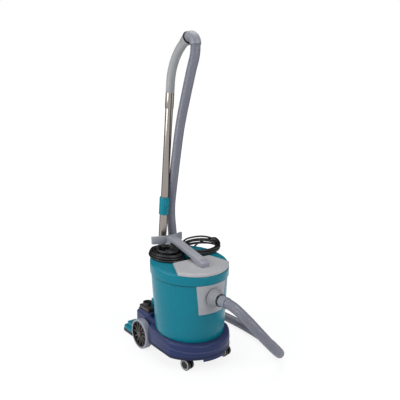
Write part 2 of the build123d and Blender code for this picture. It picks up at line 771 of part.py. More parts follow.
# ---- Wand ----------------------------------------------------------------------------
lean = radians(WAND_LEAN)
wand = Plane(origin=spot(0, WAND_Y, WAND_FOOT_Z), x_dir=(1, 0, 0), z_dir=(0, -sin(lean), cos(lean)))
with BuildPart() as wand_lower:
    with BuildSketch(wand):
        Circle(LOWER_R)
        Circle(LOWER_R - TUBE_WALL, mode=Mode.SUBTRACT)
    extrude(amount=LOWER_LONG)
finish(wand_lower, "wand_lower")
COLLAR_LOW = LOWER_LONG - COLLAR_LONG + 22
BUTTON_WIDE = 12.0
BUTTON_LONG = 22.0
BUTTON_FOOT = UPPER_R + 5
button_plane = Plane(
    origin=wand.from_local_coords((0, 0, COLLAR_LOW + 56)), x_dir=(1, 0, 0), z_dir=-wand.y_dir
)
with BuildPart() as wand_collar:
    with BuildSketch(wand.offset(COLLAR_LOW)):
        Circle(COLLAR_R)
    extrude(amount=COLLAR_LONG)
    fillet(wand_collar.edges(), 2)
    # Pad for the release button, on the front of the collar
    with BuildSketch(button_plane):
        Rectangle(BUTTON_WIDE + 6, BUTTON_LONG + 8)
    extrude(amount=COLLAR_R + 5)
    with BuildSketch(wand.offset(COLLAR_LOW)):
        Circle(UPPER_R + RUN)
    extrude(amount=COLLAR_LONG, mode=Mode.SUBTRACT)
    with BuildSketch(wand.offset(COLLAR_LOW)):
        Circle(LOWER_R)
    extrude(amount=LOWER_LONG - COLLAR_LOW, mode=Mode.SUBTRACT)
    with BuildSketch(button_plane):
        Rectangle(BUTTON_WIDE, BUTTON_LONG)
    extrude(amount=COLLAR_R + 8, mode=Mode.SUBTRACT)
finish(wand_collar, "wand_collar")
with BuildPart() as collar_button:
    with BuildSketch(button_plane.offset(BUTTON_FOOT)):
        Rectangle(BUTTON_WIDE - 2 * RUN, BUTTON_LONG - 2 * RUN)
    extrude(amount=COLLAR_R + 8 - BUTTON_FOOT)
    fillet(collar_button.faces().sort_by(Axis(spot(0, 0, 0), (0, -1, 0)))[-1].edges(), 1.5)
finish(collar_button, "collar_button")
with BuildPart() as wand_upper:
    with BuildSketch(wand.offset(LOWER_LONG - UPPER_HIDDEN)):
        Circle(UPPER_R)
        Circle(UPPER_R - TUBE_WALL, mode=Mode.SUBTRACT)
    extrude(amount=UPPER_TOP + 30 - LOWER_LONG + UPPER_HIDDEN)
finish(wand_upper, "wand_upper")
# Plated ferrule that joins the grip to the tube, with a stop bead below it
with BuildPart() as wand_ferrule:
    with BuildSketch(wand.offset(UPPER_TOP - 58)):
        Circle(GRIP_R)
        Circle(UPPER_R, mode=Mode.SUBTRACT)
    extrude(amount=58)
    with BuildSketch(wand.offset(UPPER_TOP - 64)):
        Circle(UPPER_R + 1.5)
        Circle(UPPER_R, mode=Mode.SUBTRACT)
    extrude(amount=6)
finish(wand_ferrule, "wand_ferrule")

# Bent grip tube that widens to a bell, the black swivel ring and the hose's moulded elbow
grip_path_plane = Plane(origin=wand.from_local_coords((0, 0, UPPER_TOP)), x_dir=wand.z_dir, z_dir=(1, 0, 0))
grip_end_angle = radians(GRIP_TURN)
straight = GRIP_START - UPPER_TOP
bend_centre = (straight, GRIP_BEND)
# In the path plane x runs up the wand and y runs to the front.
grip_end = (straight + GRIP_BEND * sin(grip_end_angle), GRIP_BEND * (1 - cos(grip_end_angle)))
front_sign = 1 if grip_path_plane.y_dir.Y < 0 else -1
with BuildPart() as grip_tube:
    with BuildLine(grip_path_plane) as grip_path:
        Line((0, 0), (straight, 0))
        RadiusArc((straight, 0), (grip_end[0], front_sign * grip_end[1]), -front_sign * GRIP_BEND)
    with BuildSketch(wand.offset(UPPER_TOP)):
        Circle(GRIP_R)
    sweep()
    end_face = grip_tube.faces().filter_by(GeomType.PLANE).sort_by(Axis.Z)[-1]
    end_plane = Plane(end_face)
    with BuildSketch(end_plane.offset(-34)):
        Circle(GRIP_R)
    with BuildSketch(end_plane):
        Circle(BELL_R)
    loft()
    with BuildSketch(wand.offset(UPPER_TOP)):
        Circle(UPPER_R)
    extrude(amount=30, mode=Mode.SUBTRACT)
finish(grip_tube, "grip_tube")
with BuildPart() as swivel_ring:
    with BuildSketch(end_plane):
        Circle(BELL_R + 0.5)
    extrude(amount=5)
    fillet(swivel_ring.edges(), 1.5)
finish(swivel_ring, "swivel_ring")
elbow_start = end_plane.offset(5)
elbow_path_plane = Plane(origin=elbow_start.origin, x_dir=elbow_start.z_dir, z_dir=(1, 0, 0))
down_sign = 1 if elbow_path_plane.y_dir.Z < 0 else -1
elbow_angle = radians(ELBOW_TURN)
with BuildPart() as hose_elbow:
    with BuildLine(elbow_path_plane) as elbow_path:
        RadiusArc(
            (0, 0),
            (ELBOW_BEND * sin(elbow_angle), down_sign * ELBOW_BEND * (1 - cos(elbow_angle))),
            -down_sign * ELBOW_BEND,
        )
    with BuildSketch(elbow_start):
        Circle(HOSE_R + 2)
    sweep()
finish(hose_elbow, "hose_elbow")

# ---- Hose -------------------------------------------------------------------------------
HOSE_START = (0, -247, INLET_Z)
hose_top = elbow_path.line @ 1
hose_points = [
    HOSE_START, (0, -281, INLET_Z), (22, -328, 262), (78, -353, 190), (145, -352, 118), (215, -325, 58),
    (272, -262, 24), (304, -180, 21), (322, -90, 22), (331, 10, 21), (333, 110, 21), (322, 205, 26),
    (275, 275, 66), (198, 300, 138), (124, 282, 236), (76, 240, 350), (60, 214, 468), (46, 213, 580),
    (38, 178, 702), (27, 132, 838), (17, 88, 966), (7, 28, 1090), (1, -20, 1192),
]
hose_route = [spot(*point) for point in hose_points]
hose_route += [(0, hose_top.Y, hose_top.Z - 36), tuple(hose_top)]
hose = run_tube(hose_route, HOSE_R, "hose")
finish(hose, "hose")

# ---- Floor nozzle ---------------------------------------------------------------------------
with BuildPart() as wand_cuff:
    with BuildSketch(wand.offset(-8)):
        Circle(LOWER_R + 7)
    extrude(amount=58)
    fillet(wand_cuff.faces().sort_by(Axis.Z)[-1].edges(), 3)
    with BuildSketch(wand):
        Circle(LOWER_R)
    extrude(amount=60, mode=Mode.SUBTRACT)
    with BuildSketch(wand.offset(-8)):
        Circle(12 + RUN)
    extrude(amount=8, mode=Mode.SUBTRACT)
finish(wand_cuff, "wand_cuff")
# Clip on the base that grips the cuff of the parked wand
CLIP_Z = 122.0
with BuildPart() as park_clip:
    with BuildSketch(floor.offset(CLIP_Z)):
        with Locations((0, 240)):
            Rectangle(92, 36)
    extrude(amount=10)
    with BuildSketch(wand.offset(-40)):
        Circle(LOWER_R + 7 + SEAT)
    extrude(amount=140, mode=Mode.SUBTRACT)
    with BuildSketch(floor.offset(CLIP_Z)):
        with Locations((0, 262)):
            Rectangle(34, 30)
    extrude(amount=10, mode=Mode.SUBTRACT)
    with BuildSketch(floor.offset(CLIP_Z - 1)):
        with Locations((0, BASE_REAR - 20)):
            Rectangle(100, 40)
    extrude(amount=12, mode=Mode.SUBTRACT)
finish(park_clip, "park_clip")

# Neck: a knee that turns under the cuff and carries the nozzle's cross pin
with BuildPart() as nozzle_neck:
    with BuildSketch(wand.offset(-9 - SLIP)):
        Circle(12)
    extrude(amount=9)
    with BuildSketch(wand.offset(-26)):
        Circle(21)
    extrude(amount=26 - 8 - SLIP)
    with BuildSketch(side.offset(-16)):
        with BuildLine():
            Polyline((236, 76), (266, 76), (318, 52), (322, 30), (304, 30), (262, 52), (236, 70), (236, 76))
        make_face()
    extrude(amount=32)
    with BuildSketch(side.offset(-16)):
        with Locations((PIVOT_Y, PIVOT_Z)):
            Circle(13)
    extrude(amount=32)
    with BuildSketch(side.offset(-16)):
        with Locations((PIVOT_Y, PIVOT_Z)):
            Circle(4)
    extrude(amount=32, mode=Mode.SUBTRACT)
finish(nozzle_neck, "nozzle_neck")
with BuildPart() as neck_pin:
    with BuildSketch(side.offset(-26)):
        with Locations((PIVOT_Y, PIVOT_Z)):
            Circle(4)
    extrude(amount=52)
finish(neck_pin, "neck_pin")

SOLE_THICK = 4.0
NOZZLE_MID = (NOZZLE_FRONT + NOZZLE_BACK) / 2
NOZZLE_DEEP = NOZZLE_BACK - NOZZLE_FRONT
MOUTH_WIDE = 206.0
MOUTH_DEEP = 12.0
BRUSH_WIDE = 225.0
PEDAL_X = -94.0
PEDAL_WIDE = 44.0
PEDAL_Y = NOZZLE_MID - 18
PEDAL_Z = 28.0
PEDAL_TOP = 54.0
with BuildPart() as nozzle_body:
    with BuildSketch(floor.offset(SOLE_THICK)):
        with Locations((0, NOZZLE_MID)):
            RectangleRounded(2 * NOZZLE_HALF, NOZZLE_DEEP, 14)
    extrude(amount=NOZZLE_TALL - SOLE_THICK)
    fillet(nozzle_body.faces().sort_by(Axis.Z)[-1].edges(), 8)
    # Cheeks for the cross pin, either side of the neck
    with BuildSketch(side.offset(-26)):
        with BuildLine():
            Polyline((292, 20), (292, 44), (302, 56), (322, 56), (334, 44), (334, 20), (292, 20))
        make_face()
    extrude(amount=52)
    with BuildSketch(side.offset(-16 - SLIP)):
        with BuildLine():
            Polyline((200, 12), (340, 12), (340, 80), (200, 80), (200, 12))
        make_face()
    extrude(amount=32 + 2 * SLIP, mode=Mode.SUBTRACT)
    with BuildSketch(side.offset(-30)):
        with Locations((PIVOT_Y, PIVOT_Z)):
            Circle(4 + RUN)
    extrude(amount=60, mode=Mode.SUBTRACT)
    # Suction mouth on both sides of the neck, slot for the brush and well for the pedal
    with BuildSketch(floor.offset(SOLE_THICK)):
        with Locations((0, NOZZLE_MID)):
            Rectangle(MOUTH_WIDE, MOUTH_DEEP)
    extrude(amount=10, mode=Mode.SUBTRACT)
    with BuildSketch(floor):
        with Locations((0, NOZZLE_BACK - 12)):
            Rectangle(BRUSH_WIDE + 1, 9)
    extrude(amount=16, mode=Mode.SUBTRACT)
    with BuildSketch(floor.offset(20)):
        with Locations((PEDAL_X, NOZZLE_MID)):
            Rectangle(PEDAL_WIDE + 2 * SEAT, 46)
    extrude(amount=40, mode=Mode.SUBTRACT)
    with BuildSketch(side.offset(PEDAL_X - PEDAL_WIDE / 2 - 4)):
        with Locations((PEDAL_Y, PEDAL_Z)):
            Circle(2 + RUN)
    extrude(amount=PEDAL_WIDE + 8, mode=Mode.SUBTRACT)
finish(nozzle_body, "nozzle_body")
with BuildPart() as nozzle_sole:
    with BuildSketch(floor):
        with Locations((0, NOZZLE_MID)):
            RectangleRounded(2 * NOZZLE_HALF - 8, NOZZLE_DEEP - 6, 10)
            Rectangle(MOUTH_WIDE, MOUTH_DEEP, mode=Mode.SUBTRACT)
        with Locations((0, NOZZLE_BACK - 12)):
            Rectangle(BRUSH_WIDE + 1, 9, mode=Mode.SUBTRACT)
    extrude(amount=SOLE_THICK)
finish(nozzle_sole, "nozzle_sole")
with BuildPart() as brush_strip:
    with BuildSketch(floor.offset(0.5)):
        with Locations((0, NOZZLE_BACK - 12)):
            Rectangle(BRUSH_WIDE, 8)
    extrude(amount=9)
finish(brush_strip, "brush_strip")
with BuildPart() as nozzle_pedal:
    with BuildSketch(floor.offset(PEDAL_Z - 3)):
        with Locations((PEDAL_X, NOZZLE_MID + 1)):
            Rectangle(PEDAL_WIDE, 42)
    extrude(amount=PEDAL_TOP - PEDAL_Z + 3)
    fillet(nozzle_pedal.faces().sort_by(Axis.Z)[-1].edges(), 2)
    with BuildSketch(side.offset(PEDAL_X - PEDAL_WIDE / 2 - 3)):
        with Locations((PEDAL_Y, PEDAL_Z)):
            Circle(2)
    extrude(amount=PEDAL_WIDE + 6)
finish(nozzle_pedal, "nozzle_pedal")

# ---- Upholstery nozzle lying on the left rear block ---------------------------------------------
SOCKET_BORE = 16.2
tool_plane = Plane(origin=spot(-92, 186, BLOCK_TOP + SEAT + 0.1), x_dir=(1, 0, 0), z_dir=(0, 0, 1))
with BuildPart() as small_nozzle:
    with BuildSketch(tool_plane):
        RectangleRounded(50, 78, 6)
    extrude(amount=16)
    with BuildSketch(tool_plane.offset(10)):
        with Locations((0, 8)):
            Circle(20)
    extrude(amount=22)
    with BuildSketch(tool_plane.offset(4)):
        with Locations((0, 8)):
            Circle(SOCKET_BORE)
    extrude(amount=40, mode=Mode.SUBTRACT)
finish(small_nozzle, "small_nozzle")
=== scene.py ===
import bpy
from math import cos, pi, radians, sin, tan
from mathutils import Matrix, Vector


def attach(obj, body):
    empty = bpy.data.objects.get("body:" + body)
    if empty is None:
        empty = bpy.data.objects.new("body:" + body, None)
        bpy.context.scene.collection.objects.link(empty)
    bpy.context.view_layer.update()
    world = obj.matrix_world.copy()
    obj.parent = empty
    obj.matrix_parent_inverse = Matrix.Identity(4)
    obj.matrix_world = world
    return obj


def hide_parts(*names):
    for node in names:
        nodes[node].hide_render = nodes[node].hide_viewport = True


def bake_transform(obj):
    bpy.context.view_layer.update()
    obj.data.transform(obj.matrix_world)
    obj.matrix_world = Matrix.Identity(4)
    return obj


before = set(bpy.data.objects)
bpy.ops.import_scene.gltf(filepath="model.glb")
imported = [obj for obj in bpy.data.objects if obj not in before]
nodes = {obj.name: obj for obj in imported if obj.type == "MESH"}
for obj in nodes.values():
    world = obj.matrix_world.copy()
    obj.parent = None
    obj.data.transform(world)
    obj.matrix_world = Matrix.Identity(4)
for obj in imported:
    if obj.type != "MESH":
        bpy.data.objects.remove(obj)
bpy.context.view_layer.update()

# ---- Camera, floor and studio light ---------------------------------------
# The machine is seen from its front left, a little above the lid. A pale floor keeps its soft
# shadow, and large lamps stand to the left, in front on the right and above.
camera_at = Vector((-1.1674, -1.7108, 1.0307))
camera_looks = Vector((0.5898, 0.7876, -0.1785))
camera_up = Vector((0.1073, 0.1426, 0.9839))
camera_right = camera_looks.cross(camera_up).normalized()
camera_up = camera_right.cross(camera_looks).normalized()
camera_data = bpy.data.cameras.new("studio_camera")
camera_data.sensor_width = 36.0
camera_data.lens = 44.96
camera = bpy.data.objects.new("studio_camera", camera_data)
bpy.context.scene.collection.objects.link(camera)
turn = Matrix((camera_right, camera_up, -camera_looks.normalized())).transposed()
camera.matrix_world = Matrix.Translation(camera_at) @ turn.to_4x4()
bpy.context.scene.camera = camera
bpy.context.scene.view_settings.view_transform = "Standard"


def white_to_the_eye(tree, lit_shader, white_share, strength=1.0):
    """Mixes a white glow into a shader for what the camera sees directly, in metal or through glass."""
    path = tree.nodes.new("ShaderNodeLightPath")
    first = tree.nodes.new("ShaderNodeMath")
    first.operation = "MAXIMUM"
    second = tree.nodes.new("ShaderNodeMath")
    second.operation = "MAXIMUM"
    share = tree.nodes.new("ShaderNodeMath")
    share.operation = "MULTIPLY"
    if isinstance(white_share, bpy.types.NodeSocket):
        tree.links.new(white_share, share.inputs[1])
    else:
        share.inputs[1].default_value = white_share
    tree.links.new(path.outputs["Is Camera Ray"], first.inputs[0])
    tree.links.new(path.outputs["Is Glossy Ray"], first.inputs[1])
    tree.links.new(first.outputs[0], second.inputs[0])
    tree.links.new(path.outputs["Is Transmission Ray"], second.inputs[1])
    tree.links.new(second.outputs[0], share.inputs[0])
    glow = tree.nodes.new("ShaderNodeEmission")
    glow.inputs["Color"].default_value = (1, 1, 1, 1)
    glow.inputs["Strength"].default_value = strength
    blend = tree.nodes.new("ShaderNodeMixShader")
    tree.links.new(share.outputs[0], blend.inputs[0])
    tree.links.new(lit_shader.outputs[0], blend.inputs[1])
    tree.links.new(glow.outputs[0], blend.inputs[2])
    return blend


world = bpy.data.worlds.new("studio_room")
bpy.context.scene.world = world
world.use_nodes = True
room_light = world.node_tree.nodes["Background"]
room_light.inputs["Color"].default_value = (0.93, 0.96, 1.0, 1)
room_light.inputs["Strength"].default_value = 0.38
room_seen = white_to_the_eye(world.node_tree, room_light, 1.0)
world.node_tree.links.new(room_seen.outputs[0], world.node_tree.nodes["World Output"].inputs["Surface"])

bpy.ops.object.select_all(action="DESELECT")
bpy.ops.mesh.primitive_plane_add(size=60)
studio_floor = bpy.context.object
studio_floor.name = "studio_floor"
floor_paint = bpy.data.materials.new("floor_paint")
floor_paint.use_nodes = True
floor_shader = floor_paint.node_tree.nodes["Principled BSDF"]
floor_shader.inputs["Base Color"].default_value = (0.9, 0.9, 0.9, 1)
floor_shader.inputs["Roughness"].default_value = 0.8
floor_shader.inputs["Specular IOR Level"].default_value = 0.2
floor_place = floor_paint.node_tree.nodes.new("ShaderNodeTexCoord")
floor_distance = floor_paint.node_tree.nodes.new("ShaderNodeVectorMath")
floor_distance.operation = "LENGTH"
floor_fade = floor_paint.node_tree.nodes.new("ShaderNodeMapRange")
floor_fade.interpolation_type = "SMOOTHSTEP"
floor_fade.inputs["From Min"].default_value = 0.35
floor_fade.inputs["From Max"].default_value = 1.5
floor_fade.inputs["To Min"].default_value = 0.78
floor_fade.inputs["To Max"].default_value = 1.0
floor_paint.node_tree.links.new(floor_place.outputs["Object"], floor_distance.inputs[0])
floor_paint.node_tree.links.new(floor_distance.outputs["Value"], floor_fade.inputs["Value"])
floor_seen = white_to_the_eye(floor_paint.node_tree, floor_shader, floor_fade.outputs["Result"], 1.08)
floor_paint.node_tree.links.new(
    floor_seen.outputs[0], floor_paint.node_tree.nodes["Material Output"].inputs["Surface"]
)
studio_floor.data.materials.append(floor_paint)


def softbox(name, place, aim, width, watts):
    """A large square lamp that faces a point."""
    lamp = bpy.data.lights.new(name, "AREA")
    lamp.shape = "SQUARE"
    lamp.size = width
    lamp.energy = watts
    holder = bpy.data.objects.new(name, lamp)
    bpy.context.scene.collection.objects.link(holder)
    direction = Vector(aim) - Vector(place)
    facing = direction.to_track_quat("-Z", "Y").to_matrix().to_4x4()
    holder.matrix_world = Matrix.Translation(Vector(place)) @ facing


machine_middle = (0, -0.08, 0.35)
softbox("left_softbox", (-2.6, 0.2, 1.5), machine_middle, 1.6, 38)
softbox("front_softbox", (0.5, -2.8, 2.2), machine_middle, 1.8, 34)
softbox("top_softbox", (0.2, 0.2, 3.0), machine_middle, 1.6, 22)

# A dark card behind the machine, seen only in reflections, edges the bright metal.
bpy.ops.object.select_all(action="DESELECT")
bpy.ops.mesh.primitive_plane_add(size=1, location=(0.53, 0.88, 0.9), rotation=(pi / 2, 0, radians(-36)))
dark_card = bpy.context.object
dark_card.name = "dark_card"
dark_card.scale = (6.0, 2.4, 1)
card_paint = bpy.data.materials.new("card_paint")
card_paint.use_nodes = True
card_paint.node_tree.nodes["Principled BSDF"].inputs["Base Color"].default_value = (0.012, 0.012, 0.014, 1)
card_paint.node_tree.nodes["Principled BSDF"].inputs["Roughness"].default_value = 0.9
dark_card.data.materials.append(card_paint)
dark_card.visible_camera = False
dark_card.visible_diffuse = False
dark_card.visible_shadow = False
dark_card.visible_transmission = False

# ---- Mains lead -------------------------------------------------------------
# Round black rubber cable of 8 mm. It leaves the gland at the lid's back right, is wound in a loose
# loop that fans out on the right, runs under the carrying handle and is wound tightly on the left.
TUB_Y = -0.079
DECK_Z = 0.413
DECK_TILT = radians(8.0)
DECK_SLOPE = tan(DECK_TILT)
LEAD_THICK = 0.008
FIRST_ROW_RISE = 0.0047
ROW_PITCH = 0.0084


def deck_height(y):
    """Height of the lid's deck at a place along the machine, from the tub's axis."""
    return DECK_Z + DECK_SLOPE * y


def eased(t):
    """A share from 0 to 1 that starts and stops gently."""
    return t * t * (3 - 2 * t)


def right_turn_point(angle, inset, row):
    """A point of the loose right loop: inset from its outer turn, and lifted with its row."""
    x = 0.108 + (0.098 - inset) * cos(angle)
    y = 0.066 + (0.063 - inset) * sin(angle)
    lift = (0.003, 0.013, 0.021)
    low = int(min(row, 1))
    rise = lift[low] + (lift[low + 1] - lift[low]) * (row - low)
    z = deck_height(y) + FIRST_ROW_RISE + ROW_PITCH * row + rise * max(0.0, (y - 0.02) / 0.11)
    return (x, y, z)


left_outline = [
    (0.006, 0.072), (-0.010, 0.100), (-0.036, 0.130), (-0.067, 0.149), (-0.100, 0.147), (-0.127, 0.122),
    (-0.138, 0.080), (-0.128, 0.038), (-0.100, 0.008), (-0.062, -0.004), (-0.024, 0.007), (-0.001, 0.038),
]
left_middle = Vector((-0.062, 0.078))
EVEN_INSET = 0.0205
ROUND_INSET = 0.0285
LOOP_MIDDLE_R = 0.0765


def left_turn_point(step, inset, row):
    """A point of the tight left loop, where step counts twelfths of a turn. Inner turns are rounder."""
    outer = Vector(left_outline[step % len(left_outline)])
    spoke = outer - left_middle
    even = min(inset, EVEN_INSET)
    roundness = (inset - even) / (ROUND_INSET - EVEN_INSET)
    reach = spoke.length - even
    if inset > even:
        reach += (LOOP_MIDDLE_R - inset - reach) * min(roundness, 1.0)
    x, y = left_middle + spoke.normalized() * reach
    return (x, y, deck_height(y) + FIRST_ROW_RISE + ROW_PITCH * row)


STEPS = 12
lead_points = [
    (0.1234, 0.1471, 0.402), (0.140, 0.167, 0.403), (0.169, 0.182, 0.412), (0.200, 0.172, 0.428),
    (0.220, 0.142, 0.442), (0.222, 0.108, 0.452),
]
right_turns = [
    (0.000, 2), (0.009, 2), (0.018, 1), (0.0092, 1), (0.000, 1), (0.004, 0), (0.004, 0),
]
for number, (inset, row) in enumerate(right_turns[:-1]):
    next_inset, next_row = right_turns[number + 1]
    for step in range(STEPS):
        share = eased(step / STEPS)
        wobble = 0.0012 * sin(3 * step + 1.7 * number)
        lead_points.append(
            right_turn_point(
                -2 * pi * step / STEPS,
                inset + (next_inset - inset) * share + wobble,
                row + (next_row - row) * share,
            )
        )
# The last loose turn stops at the front, and the lead crosses under the handle.
for step in range(4):
    lead_points.append(right_turn_point(-2 * pi * step / STEPS, 0.004, 0))
lead_points += [
    (0.062, 0.014, 0.4196), (0.032, 0.010, 0.4190), (0.002, 0.006, 0.4184), (-0.028, 0.000, 0.4177),
]
left_turns = [
    (0.000, 0), (0.0088, 0), (0.0176, 0), (0.0035, 1), (0.0118, 1), (0.0080, 2), (0.0165, 2), (0.0285, 3),
    (0.0370, 3), (0.0370, 2), (0.0205, 1),
]
for number, (inset, row) in enumerate(left_turns[:-1]):
    next_inset, next_row = left_turns[number + 1]
    for step in range(STEPS):
        share = eased(step / STEPS)
        wobble = 0.0010 * sin(2 * step + 2.3 * number)
        lead_points.append(
            left_turn_point(
                9 - step,
                inset + (next_inset - inset) * share + wobble,
                row + (next_row - row) * share,
            )
        )
# The end comes round to the left once more, leans inwards behind and enters the plug.
for step in (9, 8, 7, 6, 5):
    lead_points.append(left_turn_point(step, 0.0205, 1))
PLUG_X = -0.050
PLUG_TAIL_Y = 0.088 * cos(DECK_TILT) - 0.0115 * sin(DECK_TILT) + 0.018 * cos(DECK_TILT)
PLUG_TAIL_Z = DECK_Z + 0.106 * sin(DECK_TILT) + 0.0115 * cos(DECK_TILT)
lead_points += [
    (-0.096, 0.126, 0.4450), (-0.078, 0.1345, 0.4440), (-0.061, 0.130, 0.4425), (-0.0515, 0.118, 0.4408),
    (PLUG_X, PLUG_TAIL_Y, PLUG_TAIL_Z),
]


def smooth_line(name, points):
    """A curve of one quadratic NURBS spline that has these control points."""
    curve = bpy.data.curves.new(name, "CURVE")
    curve.dimensions = "3D"
    curve.resolution_u = 6
    spline = curve.splines.new("NURBS")
    spline.points.add(len(points) - 1)
    for point, place in zip(spline.points, points):
        point.co = (*place, 1)
    spline.order_u = 3
    spline.use_endpoint_u = True
    line = bpy.data.objects.new(name, curve)
    bpy.context.scene.collection.objects.link(line)
    return line


# Shared finish: fine moulding grain, a slight mottle in colour and gloss, and dust that has
# settled on what faces up.
grain = bpy.data.node_groups.new("moulded_grain", "ShaderNodeTree")
for label, kind, start in (
    ("Colour", "NodeSocketColor", (0.5, 0.5, 0.5, 1)),
    ("Roughness", "NodeSocketFloat", 0.4),
    ("Grain Size", "NodeSocketFloat", 900.0),
    ("Mottle", "NodeSocketFloat", 0.06),
    ("Dust", "NodeSocketFloat", 0.05),
):
    socket = grain.interface.new_socket(label, in_out="INPUT", socket_type=kind)
    socket.default_value = start
for label, kind in (
    ("Colour", "NodeSocketColor"), ("Roughness", "NodeSocketFloat"), ("Height", "NodeSocketFloat"),
):
    grain.interface.new_socket(label, in_out="OUTPUT", socket_type=kind)
given = grain.nodes.new("NodeGroupInput")
result = grain.nodes.new("NodeGroupOutput")
place = grain.nodes.new("ShaderNodeTexCoord")
cloud = grain.nodes.new("ShaderNodeTexNoise")
cloud.inputs["Scale"].default_value = 9.0
cloud.inputs["Detail"].default_value = 5.0
fleck = grain.nodes.new("ShaderNodeTexNoise")
fleck.inputs["Detail"].default_value = 2.0
grain.links.new(place.outputs["Object"], cloud.inputs["Vector"])
grain.links.new(place.outputs["Object"], fleck.inputs["Vector"])
grain.links.new(given.outputs["Grain Size"], fleck.inputs["Scale"])
shift = grain.nodes.new("ShaderNodeMapRange")
shift.inputs["To Min"].default_value = -1.0
grain.links.new(cloud.outputs["Fac"], shift.inputs["Value"])
amount = grain.nodes.new("ShaderNodeMath")
amount.operation = "MULTIPLY"
grain.links.new(shift.outputs["Result"], amount.inputs[0])
grain.links.new(given.outputs["Mottle"], amount.inputs[1])
brighter = grain.nodes.new("ShaderNodeMath")
brighter.operation = "ADD"
brighter.inputs[1].default_value = 1.0
grain.links.new(amount.outputs[0], brighter.inputs[0])
varied = grain.nodes.new("ShaderNodeVectorMath")
varied.operation = "SCALE"
grain.links.new(given.outputs["Colour"], varied.inputs[0])
grain.links.new(brighter.outputs[0], varied.inputs["Scale"])
facing = grain.nodes.new("ShaderNodeNewGeometry")
upward = grain.nodes.new("ShaderNodeSeparateXYZ")
grain.links.new(facing.outputs["Normal"], upward.inputs[0])
settled = grain.nodes.new("ShaderNodeMapRange")
settled.inputs["From Min"].default_value = 0.3
settled.inputs["From Max"].default_value = 1.0
grain.links.new(upward.outputs["Z"], settled.inputs["Value"])
patchy = grain.nodes.new("ShaderNodeMath")
patchy.operation = "MULTIPLY"
grain.links.new(settled.outputs["Result"], patchy.inputs[0])
grain.links.new(cloud.outputs["Fac"], patchy.inputs[1])
dusty = grain.nodes.new("ShaderNodeMath")
dusty.operation = "MULTIPLY"
grain.links.new(patchy.outputs[0], dusty.inputs[0])
grain.links.new(given.outputs["Dust"], dusty.inputs[1])
dust_mix = grain.nodes.new("ShaderNodeMix")
dust_mix.data_type = "RGBA"
dust_mix.inputs["B"].default_value = (0.62, 0.6, 0.57, 1)
grain.links.new(dusty.outputs[0], dust_mix.inputs["Factor"])
grain.links.new(varied.outputs[0], dust_mix.inputs["A"])
grain.links.new(dust_mix.outputs["Result"], result.inputs["Colour"])
rougher = grain.nodes.new("ShaderNodeMath")
rougher.operation = "MULTIPLY_ADD"
rougher.inputs[1].default_value = 1.5
grain.links.new(amount.outputs[0], rougher.inputs[0])
grain.links.new(given.outputs["Roughness"], rougher.inputs[2])
grain.links.new(rougher.outputs[0], result.inputs["Roughness"])
grain.links.new(fleck.outputs["Fac"], result.inputs["Height"])


def moulded(
    name, colour, roughness, grain_size=900.0, mottle=0.06, dust=0.05, relief=0.1, depth=0.0002, shine=0.5
):
    """A plastic or rubber with the shared grain. Colours are linear."""
    material = bpy.data.materials.new(name)
    material.use_nodes = True
    tree = material.node_tree
    shader = tree.nodes["Principled BSDF"]
    shader.inputs["Specular IOR Level"].default_value = shine
    grained = tree.nodes.new("ShaderNodeGroup")
    grained.node_tree = grain
    grained.inputs["Colour"].default_value = (*colour, 1)
    grained.inputs["Roughness"].default_value = roughness
    grained.inputs["Grain Size"].default_value = grain_size
    grained.inputs["Mottle"].default_value = mottle
    grained.inputs["Dust"].default_value = dust
    relief_node = tree.nodes.new("ShaderNodeBump")
    relief_node.inputs["Strength"].default_value = relief
    relief_node.inputs["Distance"].default_value = depth
    tree.links.new(grained.outputs["Colour"], shader.inputs["Base Color"])
    tree.links.new(grained.outputs["Roughness"], shader.inputs["Roughness"])
    tree.links.new(grained.outputs["Height"], relief_node.inputs["Height"])
    tree.links.new(relief_node.outputs["Normal"], shader.inputs["Normal"])
    return material


cable_rubber = moulded(
    "cable_rubber", (0.008, 0.008, 0.009), 0.24, grain_size=1400.0, dust=0.01, relief=0.15, shine=0.32
)
lead_world = [(x, y + TUB_Y, z) for x, y, z in lead_points]
mains_lead = smooth_line("mains_lead", lead_world)
mains_lead.data.bevel_depth = LEAD_THICK / 2
mains_lead.data.bevel_resolution = 3
mains_lead.data.use_fill_caps = True
mains_lead.data.materials.append(cable_rubber)
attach(mains_lead, "lid")
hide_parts("cord_coil", "cord_tail")

# ---- Hose ---------------------------------------------------------------------
# Ribbed grey plastic hose of 40 mm. It leaves the tub's front, drops to the floor on the right,
# lies in a wide bend round the back and climbs beside the wand to the grip.
HOSE_RADIUS = 0.020
HOSE_TOP_Y = -0.0449
hose_route = [
    (0, -0.247, 0.300), (0, -0.281, 0.300), (0.022, -0.328, 0.262), (0.078, -0.353, 0.190),
    (0.145, -0.352, 0.118), (0.215, -0.325, 0.058), (0.272, -0.262, 0.024), (0.304, -0.180, 0.021),
    (0.322, -0.090, 0.022), (0.331, 0.010, 0.021), (0.333, 0.110, 0.021), (0.322, 0.205, 0.026),
    (0.275, 0.275, 0.066), (0.198, 0.300, 0.138), (0.124, 0.282, 0.236), (0.076, 0.240, 0.350),
    (0.060, 0.214, 0.468), (0.046, 0.213, 0.580), (0.038, 0.178, 0.702), (0.027, 0.132, 0.838),
    (0.017, 0.088, 0.966), (0.007, 0.028, 1.090), (0.001, -0.020, 1.192), (0, HOSE_TOP_Y, 1.238),
    (0, HOSE_TOP_Y, 1.274),
]
hose_world = [(x, y + TUB_Y, z) for x, y, z in hose_route]
hose_line = smooth_line("hose_line", hose_world)
hose_line.data.resolution_u = 24
bpy.context.view_layer.update()
line_mesh = bpy.data.meshes.new_from_object(hose_line)
hose_path = [vertex.co.copy() for vertex in line_mesh.vertices]
bpy.data.objects.remove(hose_line)


def along(path):
    """Distances of a path's points from its start."""
    gone = [0.0]
    for before, after in zip(path, path[1:]):
        gone.append(gone[-1] + (after - before).length)
    return gone


